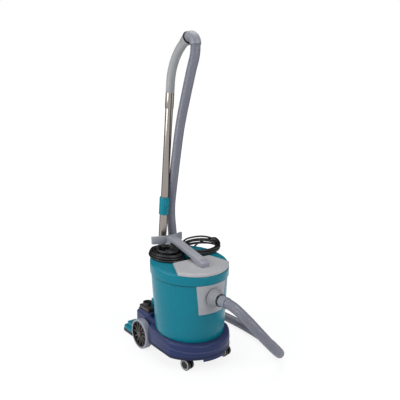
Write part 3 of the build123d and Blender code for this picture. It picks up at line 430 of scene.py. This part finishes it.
def tube_rings(path, profile, sides):
    """Rings of a round tube round a path, kept from twisting: profile gives (distance, radius) pairs."""
    gone = along(path)
    rings = []
    normal = Vector((1, 0, 0))
    segment = 0
    for distance, radius in profile:
        while segment < len(path) - 2 and gone[segment + 1] < distance:
            segment += 1
        share = (distance - gone[segment]) / max(gone[segment + 1] - gone[segment], 1e-9)
        centre = path[segment].lerp(path[segment + 1], share)
        last = min(segment + 2, len(path) - 1)
        before = (path[segment + 1] - path[segment]).normalized()
        after = (path[last] - path[segment + 1]).normalized() if last > segment + 1 else before
        heading = before.lerp(after, share * 0.5).normalized()
        normal = (normal - heading * normal.dot(heading)).normalized()
        across = heading.cross(normal)
        ring = []
        for side in range(sides):
            angle = 2 * pi * side / sides
            ring.append(centre + (normal * cos(angle) + across * sin(angle)) * radius)
        rings.append(ring)
    return rings


def skin_rings(name, rings):
    """A mesh object skinned over rings of points and closed at both ends."""
    sides = len(rings[0])
    points = [point for ring in rings for point in ring]
    faces = []
    for number in range(len(rings) - 1):
        low = number * sides
        for side in range(sides):
            following = (side + 1) % sides
            faces.append((low + side, low + following, low + sides + following, low + sides + side))
    faces.append(tuple(range(sides - 1, -1, -1)))
    faces.append(tuple(range(len(points) - sides, len(points))))
    mesh = bpy.data.meshes.new(name)
    mesh.from_pydata(points, [], faces)
    mesh.validate()
    piece = bpy.data.objects.new(name, mesh)
    bpy.context.scene.collection.objects.link(piece)
    return piece


RIB_PITCH = 0.0062
hose_length = along(hose_path)[-1]
rib_count = int(hose_length / RIB_PITCH)
hose_profile = [(0.0, HOSE_RADIUS - 0.0012)]
for rib in range(rib_count):
    start = (rib + 0.15) * hose_length / rib_count
    for share, height in ((0.0, -0.0013), (0.22, 0.0), (0.55, 0.0), (0.75, -0.0013)):
        hose_profile.append((start + share * RIB_PITCH, HOSE_RADIUS + height))
hose_profile.append((hose_length, HOSE_RADIUS - 0.0012))
hose_plastic = moulded(
    "hose_plastic", (0.175, 0.18, 0.225), 0.22, grain_size=500.0, mottle=0.08, dust=0.03
)
ribbed_hose = skin_rings("ribbed_hose", tube_rings(hose_path, hose_profile, 26))
ribbed_hose.data.materials.append(hose_plastic)
bpy.ops.object.select_all(action="DESELECT")
ribbed_hose.select_set(True)
bpy.context.view_layer.objects.active = ribbed_hose
bpy.ops.object.shade_smooth_by_angle(angle=radians(50))
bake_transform(ribbed_hose)
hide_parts("hose")

# ---- Tub ------------------------------------------------------------------------
# Tapered round tub of glossy teal polypropylene, 3 mm thick, with a rounded foot. Its rim goes up
# inside the lid, and four screws hold its floor on the base.
teal_gloss = moulded(
    "teal_gloss", (0.0, 0.19, 0.26), 0.27, grain_size=700.0, mottle=0.05, dust=0.03, relief=0.05, shine=0.2
)
TUB_RIM_R = 0.160
TUB_TAPER = tan(radians(3.1))
SEAM_Z = 0.366
TUB_LOW_Z = 0.092
TUB_TOP_Z = 0.400
SEAM_TILT = radians(4.5)
seam_normal = Vector((0, -sin(SEAM_TILT), cos(SEAM_TILT)))
seam_point = Vector((0, TUB_Y, SEAM_Z))


def tub_radius(z):
    """Outside radius of the tub at a height."""
    return TUB_RIM_R - (SEAM_Z - z) * TUB_TAPER


def start_piece(name):
    """Names the primitive just added and opens it for editing with nothing selected."""
    piece = bpy.context.object
    piece.name = name
    piece.data.name = name
    bpy.ops.object.mode_set(mode="EDIT")
    bpy.ops.mesh.select_all(action="DESELECT")
    bpy.ops.object.mode_set(mode="OBJECT")
    return piece


def pick(piece, kind, wanted):
    """Selects the faces whose middle and normal pass a test, or the edges whose two ends do."""
    bpy.ops.object.mode_set(mode="EDIT")
    bpy.ops.mesh.select_mode(type={"faces": "FACE", "edges": "EDGE"}[kind])
    bpy.ops.mesh.select_all(action="DESELECT")
    bpy.ops.object.mode_set(mode="OBJECT")
    mesh = piece.data
    if kind == "faces":
        for face in mesh.polygons:
            face.select = bool(wanted(face.center, face.normal))
    else:
        for edge in mesh.edges:
            first, second = (mesh.vertices[end].co for end in edge.vertices)
            edge.select = bool(wanted(first, second))
    bpy.ops.object.mode_set(mode="EDIT")


def cut_off(piece, point, normal):
    """Cuts away what lies beyond a plane and fills the cut."""
    bpy.ops.object.mode_set(mode="EDIT")
    bpy.ops.mesh.select_all(action="SELECT")
    bpy.ops.mesh.bisect(
        plane_co=tuple(point), plane_no=tuple(normal), clear_outer=True, use_fill=True, threshold=1e-6
    )
    bpy.ops.object.mode_set(mode="OBJECT")


SMOOTH_ANGLE = radians(35.0)
SHARP_ANGLE = radians(30.0)


def settle(piece, material, body):
    """Puts a piece's place into its mesh, shades it smooth, paints it and seats it on its body."""
    bpy.ops.object.select_all(action="DESELECT")
    piece.select_set(True)
    bpy.context.view_layer.objects.active = piece
    bpy.ops.object.transform_apply(location=True, rotation=True, scale=True)
    bpy.ops.object.shade_smooth_by_angle(angle=SMOOTH_ANGLE)
    piece.data.materials.clear()
    piece.data.materials.append(material)
    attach(piece, body)


def use_modifier(piece, kind, **settings):
    """Adds a modifier with its settings and applies it."""
    bpy.ops.object.select_all(action="DESELECT")
    piece.select_set(True)
    bpy.context.view_layer.objects.active = piece
    modifier = piece.modifiers.new(kind.lower(), kind)
    for setting, value in settings.items():
        setattr(modifier, setting, value)
    bpy.ops.object.modifier_apply(modifier=modifier.name)


bpy.ops.object.select_all(action="DESELECT")
bpy.ops.mesh.primitive_cone_add(
    vertices=192, radius1=tub_radius(TUB_LOW_Z), radius2=tub_radius(TUB_TOP_Z), depth=TUB_TOP_Z - TUB_LOW_Z,
    location=(0, TUB_Y, (TUB_TOP_Z + TUB_LOW_Z) / 2),
)
tub_shell = start_piece("tub_shell")
bpy.ops.object.transform_apply(location=True, rotation=True, scale=True)
cut_off(tub_shell, seam_point + seam_normal * 0.005, seam_normal)
pick(tub_shell, "edges", lambda a, b: max(a.z, b.z) < TUB_LOW_Z + 1e-4)
bpy.ops.mesh.bevel(offset=0.006, segments=4)
bpy.ops.object.mode_set(mode="OBJECT")
pick(tub_shell, "faces", lambda centre, normal: normal.z > 0.9 and centre.z > 0.3)
bpy.ops.mesh.delete(type="FACE")
bpy.ops.object.mode_set(mode="OBJECT")
use_modifier(tub_shell, "SOLIDIFY", thickness=0.003, offset=-1)
settle(tub_shell, teal_gloss, "chassis")
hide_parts("tub")

# ---- Lid ------------------------------------------------------------------------
# Teal lid moulded like a drum: it overhangs the tub, its lower edge is rolled, and its deck falls
# to the front. The air leaves through nine slots at the back.
LID_R = 0.165
deck_normal = Vector((0, -sin(DECK_TILT), cos(DECK_TILT)))
deck_point = Vector((0, TUB_Y, DECK_Z))
bpy.ops.object.select_all(action="DESELECT")
bpy.ops.mesh.primitive_cylinder_add(
    vertices=192, radius=LID_R - 0.0004, depth=0.2, location=(0, TUB_Y, 0.4)
)
lid_drum = start_piece("lid_drum")
bpy.ops.object.transform_apply(location=True, rotation=True, scale=True)
cut_off(lid_drum, deck_point, deck_normal)
cut_off(lid_drum, seam_point, -seam_normal)


def above_deck(point):
    """How far a point lies above the lid's deck."""
    return (point - deck_point).dot(deck_normal)


def above_seam(point):
    """How far a point lies above the seam."""
    return (point - seam_point).dot(seam_normal)


def on_outer_rim(first, second):
    """Whether an edge runs along the outside of the lid's lower rim."""
    off_seam = max(abs(above_seam(first)), abs(above_seam(second)))
    nearest = min((first - seam_point).xy.length, (second - seam_point).xy.length)
    return off_seam < 1e-4 and nearest > LID_R - 0.001


pick(lid_drum, "edges", lambda a, b: abs(above_deck(a)) < 1e-4 and abs(above_deck(b)) < 1e-4)
bpy.ops.mesh.bevel(offset=0.008, segments=6)
bpy.ops.object.mode_set(mode="OBJECT")
pick(lid_drum, "faces", lambda centre, normal: normal.dot(seam_normal) < -0.95)
bpy.ops.mesh.delete(type="FACE")
bpy.ops.object.mode_set(mode="OBJECT")
use_modifier(lid_drum, "SOLIDIFY", thickness=0.0035, offset=-1)
pick(lid_drum, "edges", on_outer_rim)
bpy.ops.mesh.bevel(offset=0.0016, segments=3)
bpy.ops.object.mode_set(mode="OBJECT")


def cut_with(piece, cutters):
    """Cuts holes in a piece with closed cutters, which are then thrown away."""
    for cutter in cutters:
        use_modifier(piece, "BOOLEAN", operation="DIFFERENCE", solver="EXACT", object=cutter)
        bpy.data.objects.remove(cutter)


SLOT_COUNT = 9
SLOT_PITCH = 0.009
slot_cutters = []
for slot_number in range(SLOT_COUNT):
    slot_x = (slot_number - SLOT_COUNT // 2) * SLOT_PITCH
    bpy.ops.object.select_all(action="DESELECT")
    bpy.ops.mesh.primitive_cube_add(size=1, location=(slot_x, TUB_Y + 0.160, 0.402))
    slot_cutter = bpy.context.object
    slot_cutter.scale = (0.004, 0.06, 0.024)
    bpy.ops.object.transform_apply(location=True, rotation=True, scale=True)
    slot_cutters.append(slot_cutter)
SWITCH_AZIMUTH = radians(25)
SWITCH_OUT = 0.155
bpy.ops.object.select_all(action="DESELECT")
bpy.ops.mesh.primitive_cube_add(
    size=1, rotation=(0, 0, SWITCH_AZIMUTH),
    location=(SWITCH_OUT * cos(SWITCH_AZIMUTH), TUB_Y + SWITCH_OUT * sin(SWITCH_AZIMUTH), 0.398),
)
switch_cutter = bpy.context.object
switch_cutter.scale = (0.04, 0.032, 0.018)
bpy.ops.object.transform_apply(location=True, rotation=True, scale=True)
slot_cutters.append(switch_cutter)
cut_with(lid_drum, slot_cutters)
settle(lid_drum, teal_gloss, "lid")
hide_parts("lid_shell")

# ---- Cap, handle, panel, socket and base ---------------------------------------
# These mouldings keep the shape they have on the machine. Each is a copy of the part with its
# edges rounded as a mould leaves them.
grey_matte = moulded(
    "grey_matte", (0.37, 0.375, 0.40), 0.42, grain_size=1100.0, mottle=0.05, dust=0.05, relief=0.12
)
navy_matte = moulded(
    "navy_matte", (0.017, 0.030, 0.108), 0.38, grain_size=900.0, mottle=0.10, dust=0.05, relief=0.2,
    shine=0.25,
)


def rounded_copy(node, name, width, material, body):
    """A copy of a part with its doubles merged and its sharp edges rounded, which stands for it."""
    piece = bpy.data.objects.new(name, nodes[node].data.copy())
    bpy.context.scene.collection.objects.link(piece)
    bpy.ops.object.select_all(action="DESELECT")
    piece.select_set(True)
    bpy.context.view_layer.objects.active = piece
    bpy.ops.object.mode_set(mode="EDIT")
    bpy.ops.mesh.select_all(action="SELECT")
    bpy.ops.mesh.remove_doubles(threshold=1e-5)
    bpy.ops.mesh.dissolve_limited(angle_limit=radians(0.5))
    bpy.ops.object.mode_set(mode="OBJECT")
    use_modifier(
        piece, "BEVEL", width=width, segments=3, limit_method="ANGLE", angle_limit=SHARP_ANGLE,
        use_clamp_overlap=True, miter_outer="MITER_ARC",
    )
    settle(piece, material, body)
    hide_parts(node)


cap_grey = moulded(
    "cap_grey", (0.44, 0.44, 0.455), 0.38, grain_size=1100.0, mottle=0.05, dust=0.03, relief=0.12
)
strap_grey = moulded(
    "strap_grey", (0.29, 0.30, 0.345), 0.36, grain_size=1100.0, mottle=0.06, dust=0.03, relief=0.12
)
rounded_copy("lid_cap", "cap_moulding", 0.0012, cap_grey, "lid")
rounded_copy("carry_handle", "handle_moulding", 0.0016, strap_grey, "lid")
rounded_copy("inlet_panel", "panel_moulding", 0.0012, grey_matte, "chassis")
# The socket is painted a darker grey than the panel: painted shade on its brightly lit front face.
socket_shaded_grey = moulded(
    "socket_shaded_grey", (0.26, 0.265, 0.29), 0.45, grain_size=1100.0, mottle=0.05, dust=0.03, shine=0.3
)
rounded_copy("inlet_socket", "socket_moulding", 0.0008, socket_shaded_grey, "chassis")
rounded_copy("base_chassis", "base_moulding", 0.0015, navy_matte, "chassis")


def copy_all(width, material, body, slot, *names):
    """Rounded copies of several parts of one body in one finish."""
    for name in names:
        rounded_copy(name, name + "_moulding", width, material, body)


def metal(name, colour, roughness, streaks):
    """A metal whose gloss varies along fine drawn lines."""
    material = bpy.data.materials.new(name)
    material.use_nodes = True
    tree = material.node_tree
    shader = tree.nodes["Principled BSDF"]
    shader.inputs["Metallic"].default_value = 1.0
    shader.inputs["Base Color"].default_value = (*colour, 1)
    place = tree.nodes.new("ShaderNodeTexCoord")
    stretch = tree.nodes.new("ShaderNodeMapping")
    stretch.inputs["Scale"].default_value = streaks
    lines = tree.nodes.new("ShaderNodeTexNoise")
    lines.inputs["Scale"].default_value = 40.0
    gloss = tree.nodes.new("ShaderNodeMapRange")
    gloss.inputs["To Min"].default_value = roughness * 0.75
    gloss.inputs["To Max"].default_value = roughness * 1.3
    tree.links.new(place.outputs["Object"], stretch.inputs["Vector"])
    tree.links.new(stretch.outputs["Vector"], lines.inputs["Vector"])
    tree.links.new(lines.outputs["Fac"], gloss.inputs["Value"])
    tree.links.new(gloss.outputs["Result"], shader.inputs["Roughness"])
    return material


def paint(material, *names):
    """Gives a finish to parts that keep their own shape."""
    for name in names:
        for holder in nodes[name].material_slots:
            holder.material = material


def strip(name, points, height, thick, material, body):
    """A raised strip with rounded edges along a line of points; its height is upright."""
    curve = bpy.data.curves.new(name, "CURVE")
    curve.dimensions = "3D"
    curve.twist_mode = "Z_UP"
    line = curve.splines.new("POLY")
    line.points.add(len(points) - 1)
    for point, place in zip(line.points, points):
        point.co = (*place, 1)
    curve.extrude = height / 2 - thick
    curve.bevel_depth = thick
    curve.bevel_resolution = 2
    piece = bpy.data.objects.new(name, curve)
    bpy.context.scene.collection.objects.link(piece)
    bpy.ops.object.select_all(action="DESELECT")
    piece.select_set(True)
    bpy.context.view_layer.objects.active = piece
    bpy.ops.object.convert(target="MESH")
    settle(bpy.context.object, material, body)


# ---- Bands on the base ----------------------------------------------------------
# A lighter, glossier strip, a painted highlight on the rounded shoulder, runs round the nose and along both
# flanks, in step with the sloping top. The skirt below it ends in a darker edge, and a lip hangs down
# between the casters.
NOSE_R = 0.1602
NOSE_Y = -0.0138
FLANK_X = 0.150
NOSE_STEPS = 20


def nose_line(reach, height, climb, flank_end):
    """Points round the nose up to an angle either side, then back along the flanks."""
    points = []
    for step in range(2 * NOSE_STEPS + 1):
        angle = reach * (step / NOSE_STEPS - 1)
        x, y = NOSE_R * sin(angle), NOSE_Y - NOSE_R * cos(angle)
        points.append((x, y + TUB_Y, height + climb * y))
    if flank_end is not None:
        end_height = height + climb * flank_end
        points.insert(0, (-FLANK_X, flank_end + TUB_Y, end_height))
        points.append((FLANK_X, flank_end + TUB_Y, end_height))
    return points


BASE_CLIMB = tan(radians(6.6))
FULL_NOSE = radians(69.4)
LIP_REACH = radians(19)
FLANK_END = 0.088
navy_edge = moulded("navy_edge", (0.010, 0.016, 0.050), 0.45, mottle=0.08, dust=0.03, shine=0.25)
# The lighter navy strip is a painted highlight along the shoulder of the base.
navy_painted_highlight = moulded("navy_painted_highlight", (0.030, 0.045, 0.14), 0.32, mottle=0.06, dust=0.05, shine=0.4)
highlight_line = nose_line(FULL_NOSE, 0.098, BASE_CLIMB, FLANK_END)
strip("base_painted_highlight", highlight_line, 0.005, 0.0012, navy_painted_highlight, "chassis")
skirt_line = nose_line(FULL_NOSE, 0.0555, 0, FLANK_END)
strip("skirt_edge", skirt_line, 0.010, 0.0012, navy_edge, "chassis")
lip_line = nose_line(LIP_REACH, 0.047, 0, None)
strip("nose_lip", lip_line, 0.013, 0.002, navy_matte, "chassis")

# ---- Painted seam shade ------------------------------------------------------------
# Dark strips paint the shade in the gap under the lid's overhang and in the gap between the tub and the
# base.
painted_seam_shade = moulded("painted_seam_shade", (0.002, 0.020, 0.030), 0.55, mottle=0.05, dust=0.0, shine=0.2)
RING_STEPS = 96


def ring_round_tub(height, climb, gap):
    """Points round the tub, a gap outside its wall, on a plane that climbs to the rear."""
    points = []
    for step in range(RING_STEPS + 1):
        angle = 2 * pi * step / RING_STEPS
        z = height + climb * TUB_RIM_R * sin(angle)
        radius = tub_radius(z) + gap
        points.append((radius * cos(angle), TUB_Y + radius * sin(angle), z))
    return points


# Both strips are painted shade: near-black teal where the seams fall into shadow.
lid_ring = ring_round_tub(SEAM_Z - 0.0012, tan(SEAM_TILT), 0.0016)
strip("lid_seam_shade", lid_ring, 0.0035, 0.001, painted_seam_shade, "lid")
base_ring = ring_round_tub(0.1275, BASE_CLIMB, 0.0006)
strip("base_seam_shade", base_ring, 0.004, 0.001, painted_seam_shade, "chassis")

# ---- Strap ribs -------------------------------------------------------------------
# Four low ribs run along the top of the carrying strap.
STRAP_FALL = radians(13.78)
STRAP_RIB_PITCH = 0.009
STRAP_RIB_SIZE = (0.003, 0.196, 0.0022)
for number in range(4):
    rib_x = (number - 1.5) * STRAP_RIB_PITCH
    bpy.ops.object.select_all(action="DESELECT")
    bpy.ops.mesh.primitive_cube_add(
        size=1, location=(rib_x, TUB_Y + 0.008, 0.4592), rotation=(STRAP_FALL, 0, 0)
    )
    rib = start_piece(f"strap_rib_{number}")
    rib.scale = STRAP_RIB_SIZE
    bpy.ops.object.transform_apply(location=True, rotation=True, scale=True)
    use_modifier(rib, "BEVEL", width=0.0006, segments=2, limit_method="ANGLE", angle_limit=SHARP_ANGLE)
    settle(rib, cap_grey, "lid")

# ---- Rear wheels --------------------------------------------------------------------
# Grey-blue tyres of 130 mm on dark moulded wheels. The face is a recessed dish with twelve ribs
# round the hub.
tyre_rubber = moulded(
    "tyre_rubber", (0.33, 0.335, 0.40), 0.5, grain_size=600.0, mottle=0.08, dust=0.1
)
wheel_black = moulded(
    "wheel_black", (0.020, 0.018, 0.017), 0.42, grain_size=800.0, mottle=0.12, dust=0.06, shine=0.3
)
wheel_rib = moulded(
    "wheel_rib", (0.060, 0.056, 0.052), 0.38, grain_size=800.0, mottle=0.10, dust=0.06, shine=0.4
)
AXLE_Y = TUB_Y + 0.163
WHEEL_R = 0.065
DISH_R = 0.0525
DISH_X = 0.1465
WHEEL_RIBS = 12
WHEEL_RIB_X = 0.1500
WHEEL_RIB_OUT = 0.033
WHEEL_RIB_SIZE = (0.006, 0.037, 0.0055)
for hand, body in ((-1, "wheel_left"), (1, "wheel_right")):
    side_label = body.removeprefix("wheel")
    copy_all(0.0008, tyre_rubber, body, "soft_tyre", "tyre" + side_label)
    copy_all(0.0010, wheel_black, body, "grey_plastic", "wheel_rim" + side_label)
    paint(wheel_rib, "hub_cap" + side_label)
    bpy.ops.object.select_all(action="DESELECT")
    bpy.ops.mesh.primitive_cylinder_add(
        vertices=96, radius=DISH_R, depth=0.003, location=(hand * DISH_X, AXLE_Y, WHEEL_R),
        rotation=(0, pi / 2, 0),
    )
    dish = start_piece(body + "_dish")
    settle(dish, wheel_black, body)
    for number in range(WHEEL_RIBS):
        rib_angle = 2 * pi * number / WHEEL_RIBS
        rib_y = AXLE_Y + WHEEL_RIB_OUT * cos(rib_angle)
        rib_z = WHEEL_R + WHEEL_RIB_OUT * sin(rib_angle)
        bpy.ops.object.select_all(action="DESELECT")
        bpy.ops.mesh.primitive_cube_add(
            size=1, location=(hand * WHEEL_RIB_X, rib_y, rib_z), rotation=(rib_angle, 0, 0)
        )
        spoke = start_piece(f"{body}_rib_{number}")
        spoke.scale = WHEEL_RIB_SIZE
        bpy.ops.object.transform_apply(location=True, rotation=True, scale=True)
        use_modifier(
            spoke, "BEVEL", width=0.0012, segments=2, limit_method="ANGLE", angle_limit=SHARP_ANGLE
        )
        settle(spoke, wheel_rib, body)

# ---- Casters -----------------------------------------------------------------------
# Black twin casters whose wheels have a light ring round a dark hub on the outside.
black_matte = moulded("black_matte", (0.010, 0.010, 0.011), 0.36, mottle=0.08, dust=0.03, shine=0.3)
ring_grey = moulded("ring_grey", (0.42, 0.42, 0.43), 0.42, grain_size=700.0, mottle=0.08, dust=0.08)
CASTER_YAW = radians(12)
CASTER_OFFSET = 0.097
CASTER_TRAIL = 0.015
CASTER_R = 0.024
RING_OUT = 0.0148
for hand, label in ((-1, "left"), (1, "right")):
    copy_all(0.0008, black_matte, "caster_" + label, "black_plastic", "caster_housing_" + label)
    copy_all(0.0006, black_matte, f"caster_{label}_roller", "black_plastic", "caster_wheels_" + label)
    middle_x = hand * CASTER_OFFSET + CASTER_TRAIL * sin(CASTER_YAW)
    middle_y = TUB_Y - CASTER_OFFSET - CASTER_TRAIL * cos(CASTER_YAW)
    middle = Vector((middle_x, middle_y, CASTER_R))
    across = Vector((cos(CASTER_YAW), sin(CASTER_YAW), 0))
    for outward in (-1, 1):
        bpy.ops.object.select_all(action="DESELECT")
        bpy.ops.mesh.primitive_torus_add(
            major_radius=0.0182, minor_radius=0.0026, major_segments=64, minor_segments=12,
            location=middle + across * outward * RING_OUT, rotation=(0, pi / 2, CASTER_YAW),
        )
        face_ring = start_piece(f"caster_ring_{label}_{outward + 1}")
        settle(face_ring, ring_grey, f"caster_{label}_roller")

# ---- Wand, grip and hose ends ---------------------------------------------------------
# Drawn steel tubes with a teal slide collar, a light grey bent grip and smooth moulded hose ends.
tube_steel = metal("tube_steel", (0.30, 0.27, 0.25), 0.18, (1, 1, 0.04))
grip_grey = moulded(
    "grip_grey", (0.36, 0.365, 0.375), 0.36, grain_size=900.0, mottle=0.05, dust=0.03
)
teal_satin = moulded("teal_satin", (0.0, 0.21, 0.28), 0.33, mottle=0.05, dust=0.02, shine=0.25)
end_plastic = moulded(
    "end_plastic", (0.235, 0.245, 0.285), 0.33, grain_size=800.0, mottle=0.05, dust=0.03
)
black_gloss = moulded(
    "black_gloss", (0.008, 0.008, 0.009), 0.20, mottle=0.05, dust=0.02, shine=0.35
)
copy_all(0.0003, tube_steel, "chassis", "plated_tube", "wand_lower")
copy_all(0.0003, tube_steel, "upper_wand", "plated_tube", "wand_upper", "wand_ferrule")
copy_all(0.0006, teal_satin, "chassis", "teal_plastic", "wand_collar", "wand_cuff")
paint(teal_satin, "collar_button")
copy_all(0.0006, grip_grey, "upper_wand", "grey_plastic", "grip_tube")
paint(black_gloss, "swivel_ring", "locking_ring", "power_rocker")
paint(end_plastic, "hose_elbow", "hose_sleeve")

# ---- Nozzles -----------------------------------------------------------------------------
# Teal floor nozzle with a black bumper above its steel sole, and a dark upholstery nozzle.
tool_brown = moulded(
    "tool_brown", (0.034, 0.028, 0.026), 0.36, grain_size=700.0, mottle=0.12, dust=0.05, shine=0.35
)
copy_all(0.0010, teal_satin, "floor_nozzle", "teal_plastic", "nozzle_body")
copy_all(0.0010, tool_brown, "loose_tool", "black_plastic", "small_nozzle")
copy_all(0.0008, black_matte, "neck", "black_plastic", "nozzle_neck")
paint(teal_satin, "nozzle_pedal")
bpy.ops.object.select_all(action="DESELECT")
bpy.ops.mesh.primitive_cylinder_add(
    vertices=48, radius=0.008, depth=0.034, location=(-0.074, TUB_Y + 0.178, 0.189),
    rotation=(0, radians(12), 0),
)
tool_tab = start_piece("tool_tab")
use_modifier(tool_tab, "BEVEL", width=0.002, segments=3, limit_method="ANGLE", angle_limit=SHARP_ANGLE)
settle(tool_tab, teal_satin, "loose_tool")
NOZZLE_Y = TUB_Y + 0.317
BUMPER_X = 0.115
BUMPER_Y = 0.032
BUMPER_Z = 0.012
BUMPER_ROUND = 0.0135
CORNER_STEPS = 6
corners = [(BUMPER_X, BUMPER_Y), (-BUMPER_X, BUMPER_Y), (-BUMPER_X, -BUMPER_Y), (BUMPER_X, -BUMPER_Y)]
bumper_line = []
for number, (x, y) in enumerate(corners):
    for step in range(CORNER_STEPS + 1):
        angle = pi / 2 * (number + step / CORNER_STEPS)
        bumper_x = x + BUMPER_ROUND * cos(angle)
        bumper_y = NOZZLE_Y + y + BUMPER_ROUND * sin(angle)
        bumper_line.append((bumper_x, bumper_y, BUMPER_Z))
bumper_line.append(bumper_line[0])
strip("nozzle_bumper", bumper_line, 0.013, 0.0012, black_matte, "floor_nozzle")

# ---- Inside and small parts -----------------------------------------------------------------
# What is out of sight keeps its own shape and gets the finish of its stuff.
plain_steel = metal("plain_steel", (0.52, 0.52, 0.53), 0.30, (1, 1, 1))
copper_wire = metal("copper_wire", (0.62, 0.28, 0.12), 0.34, (1, 1, 6))
gasket_rubber = moulded("gasket_rubber", (0.025, 0.025, 0.026), 0.6, grain_size=1200.0)
bag_felt = moulded(
    "bag_felt", (0.60, 0.56, 0.48), 0.9, grain_size=1500.0, mottle=0.10, relief=0.6, depth=0.0008
)
filter_felt = moulded(
    "filter_felt", (0.72, 0.72, 0.70), 0.95, grain_size=1800.0, mottle=0.06, relief=0.6, depth=0.0008
)
card_brown = moulded(
    "card_brown", (0.42, 0.30, 0.17), 0.85, grain_size=900.0, mottle=0.12, relief=0.3
)
bristle_black = moulded(
    "bristle_black", (0.02, 0.02, 0.02), 0.6, grain_size=2500.0, relief=0.9, depth=0.001
)
paint(plain_steel, "rear_axle", "tub_screws", "plate_screws", "neck_pin", "motor_shaft", "motor_bearings")
paint(plain_steel, "nozzle_sole", "motor_housing", "fan_wheel")
paint(copper_wire, "armature", "field_coils")
paint(gasket_rubber, "rim_gasket", "motor_mount")
paint(bag_felt, "dust_bag")
paint(filter_felt, "filter_cloth", "exhaust_filter")
paint(card_brown, "bag_collar")
paint(bristle_black, "brush_strip")
paint(black_matte, "park_clip", "power_plug", "switch_frame", "motor_plate", "filter_basket")
paint(cable_rubber, "cord_gland")
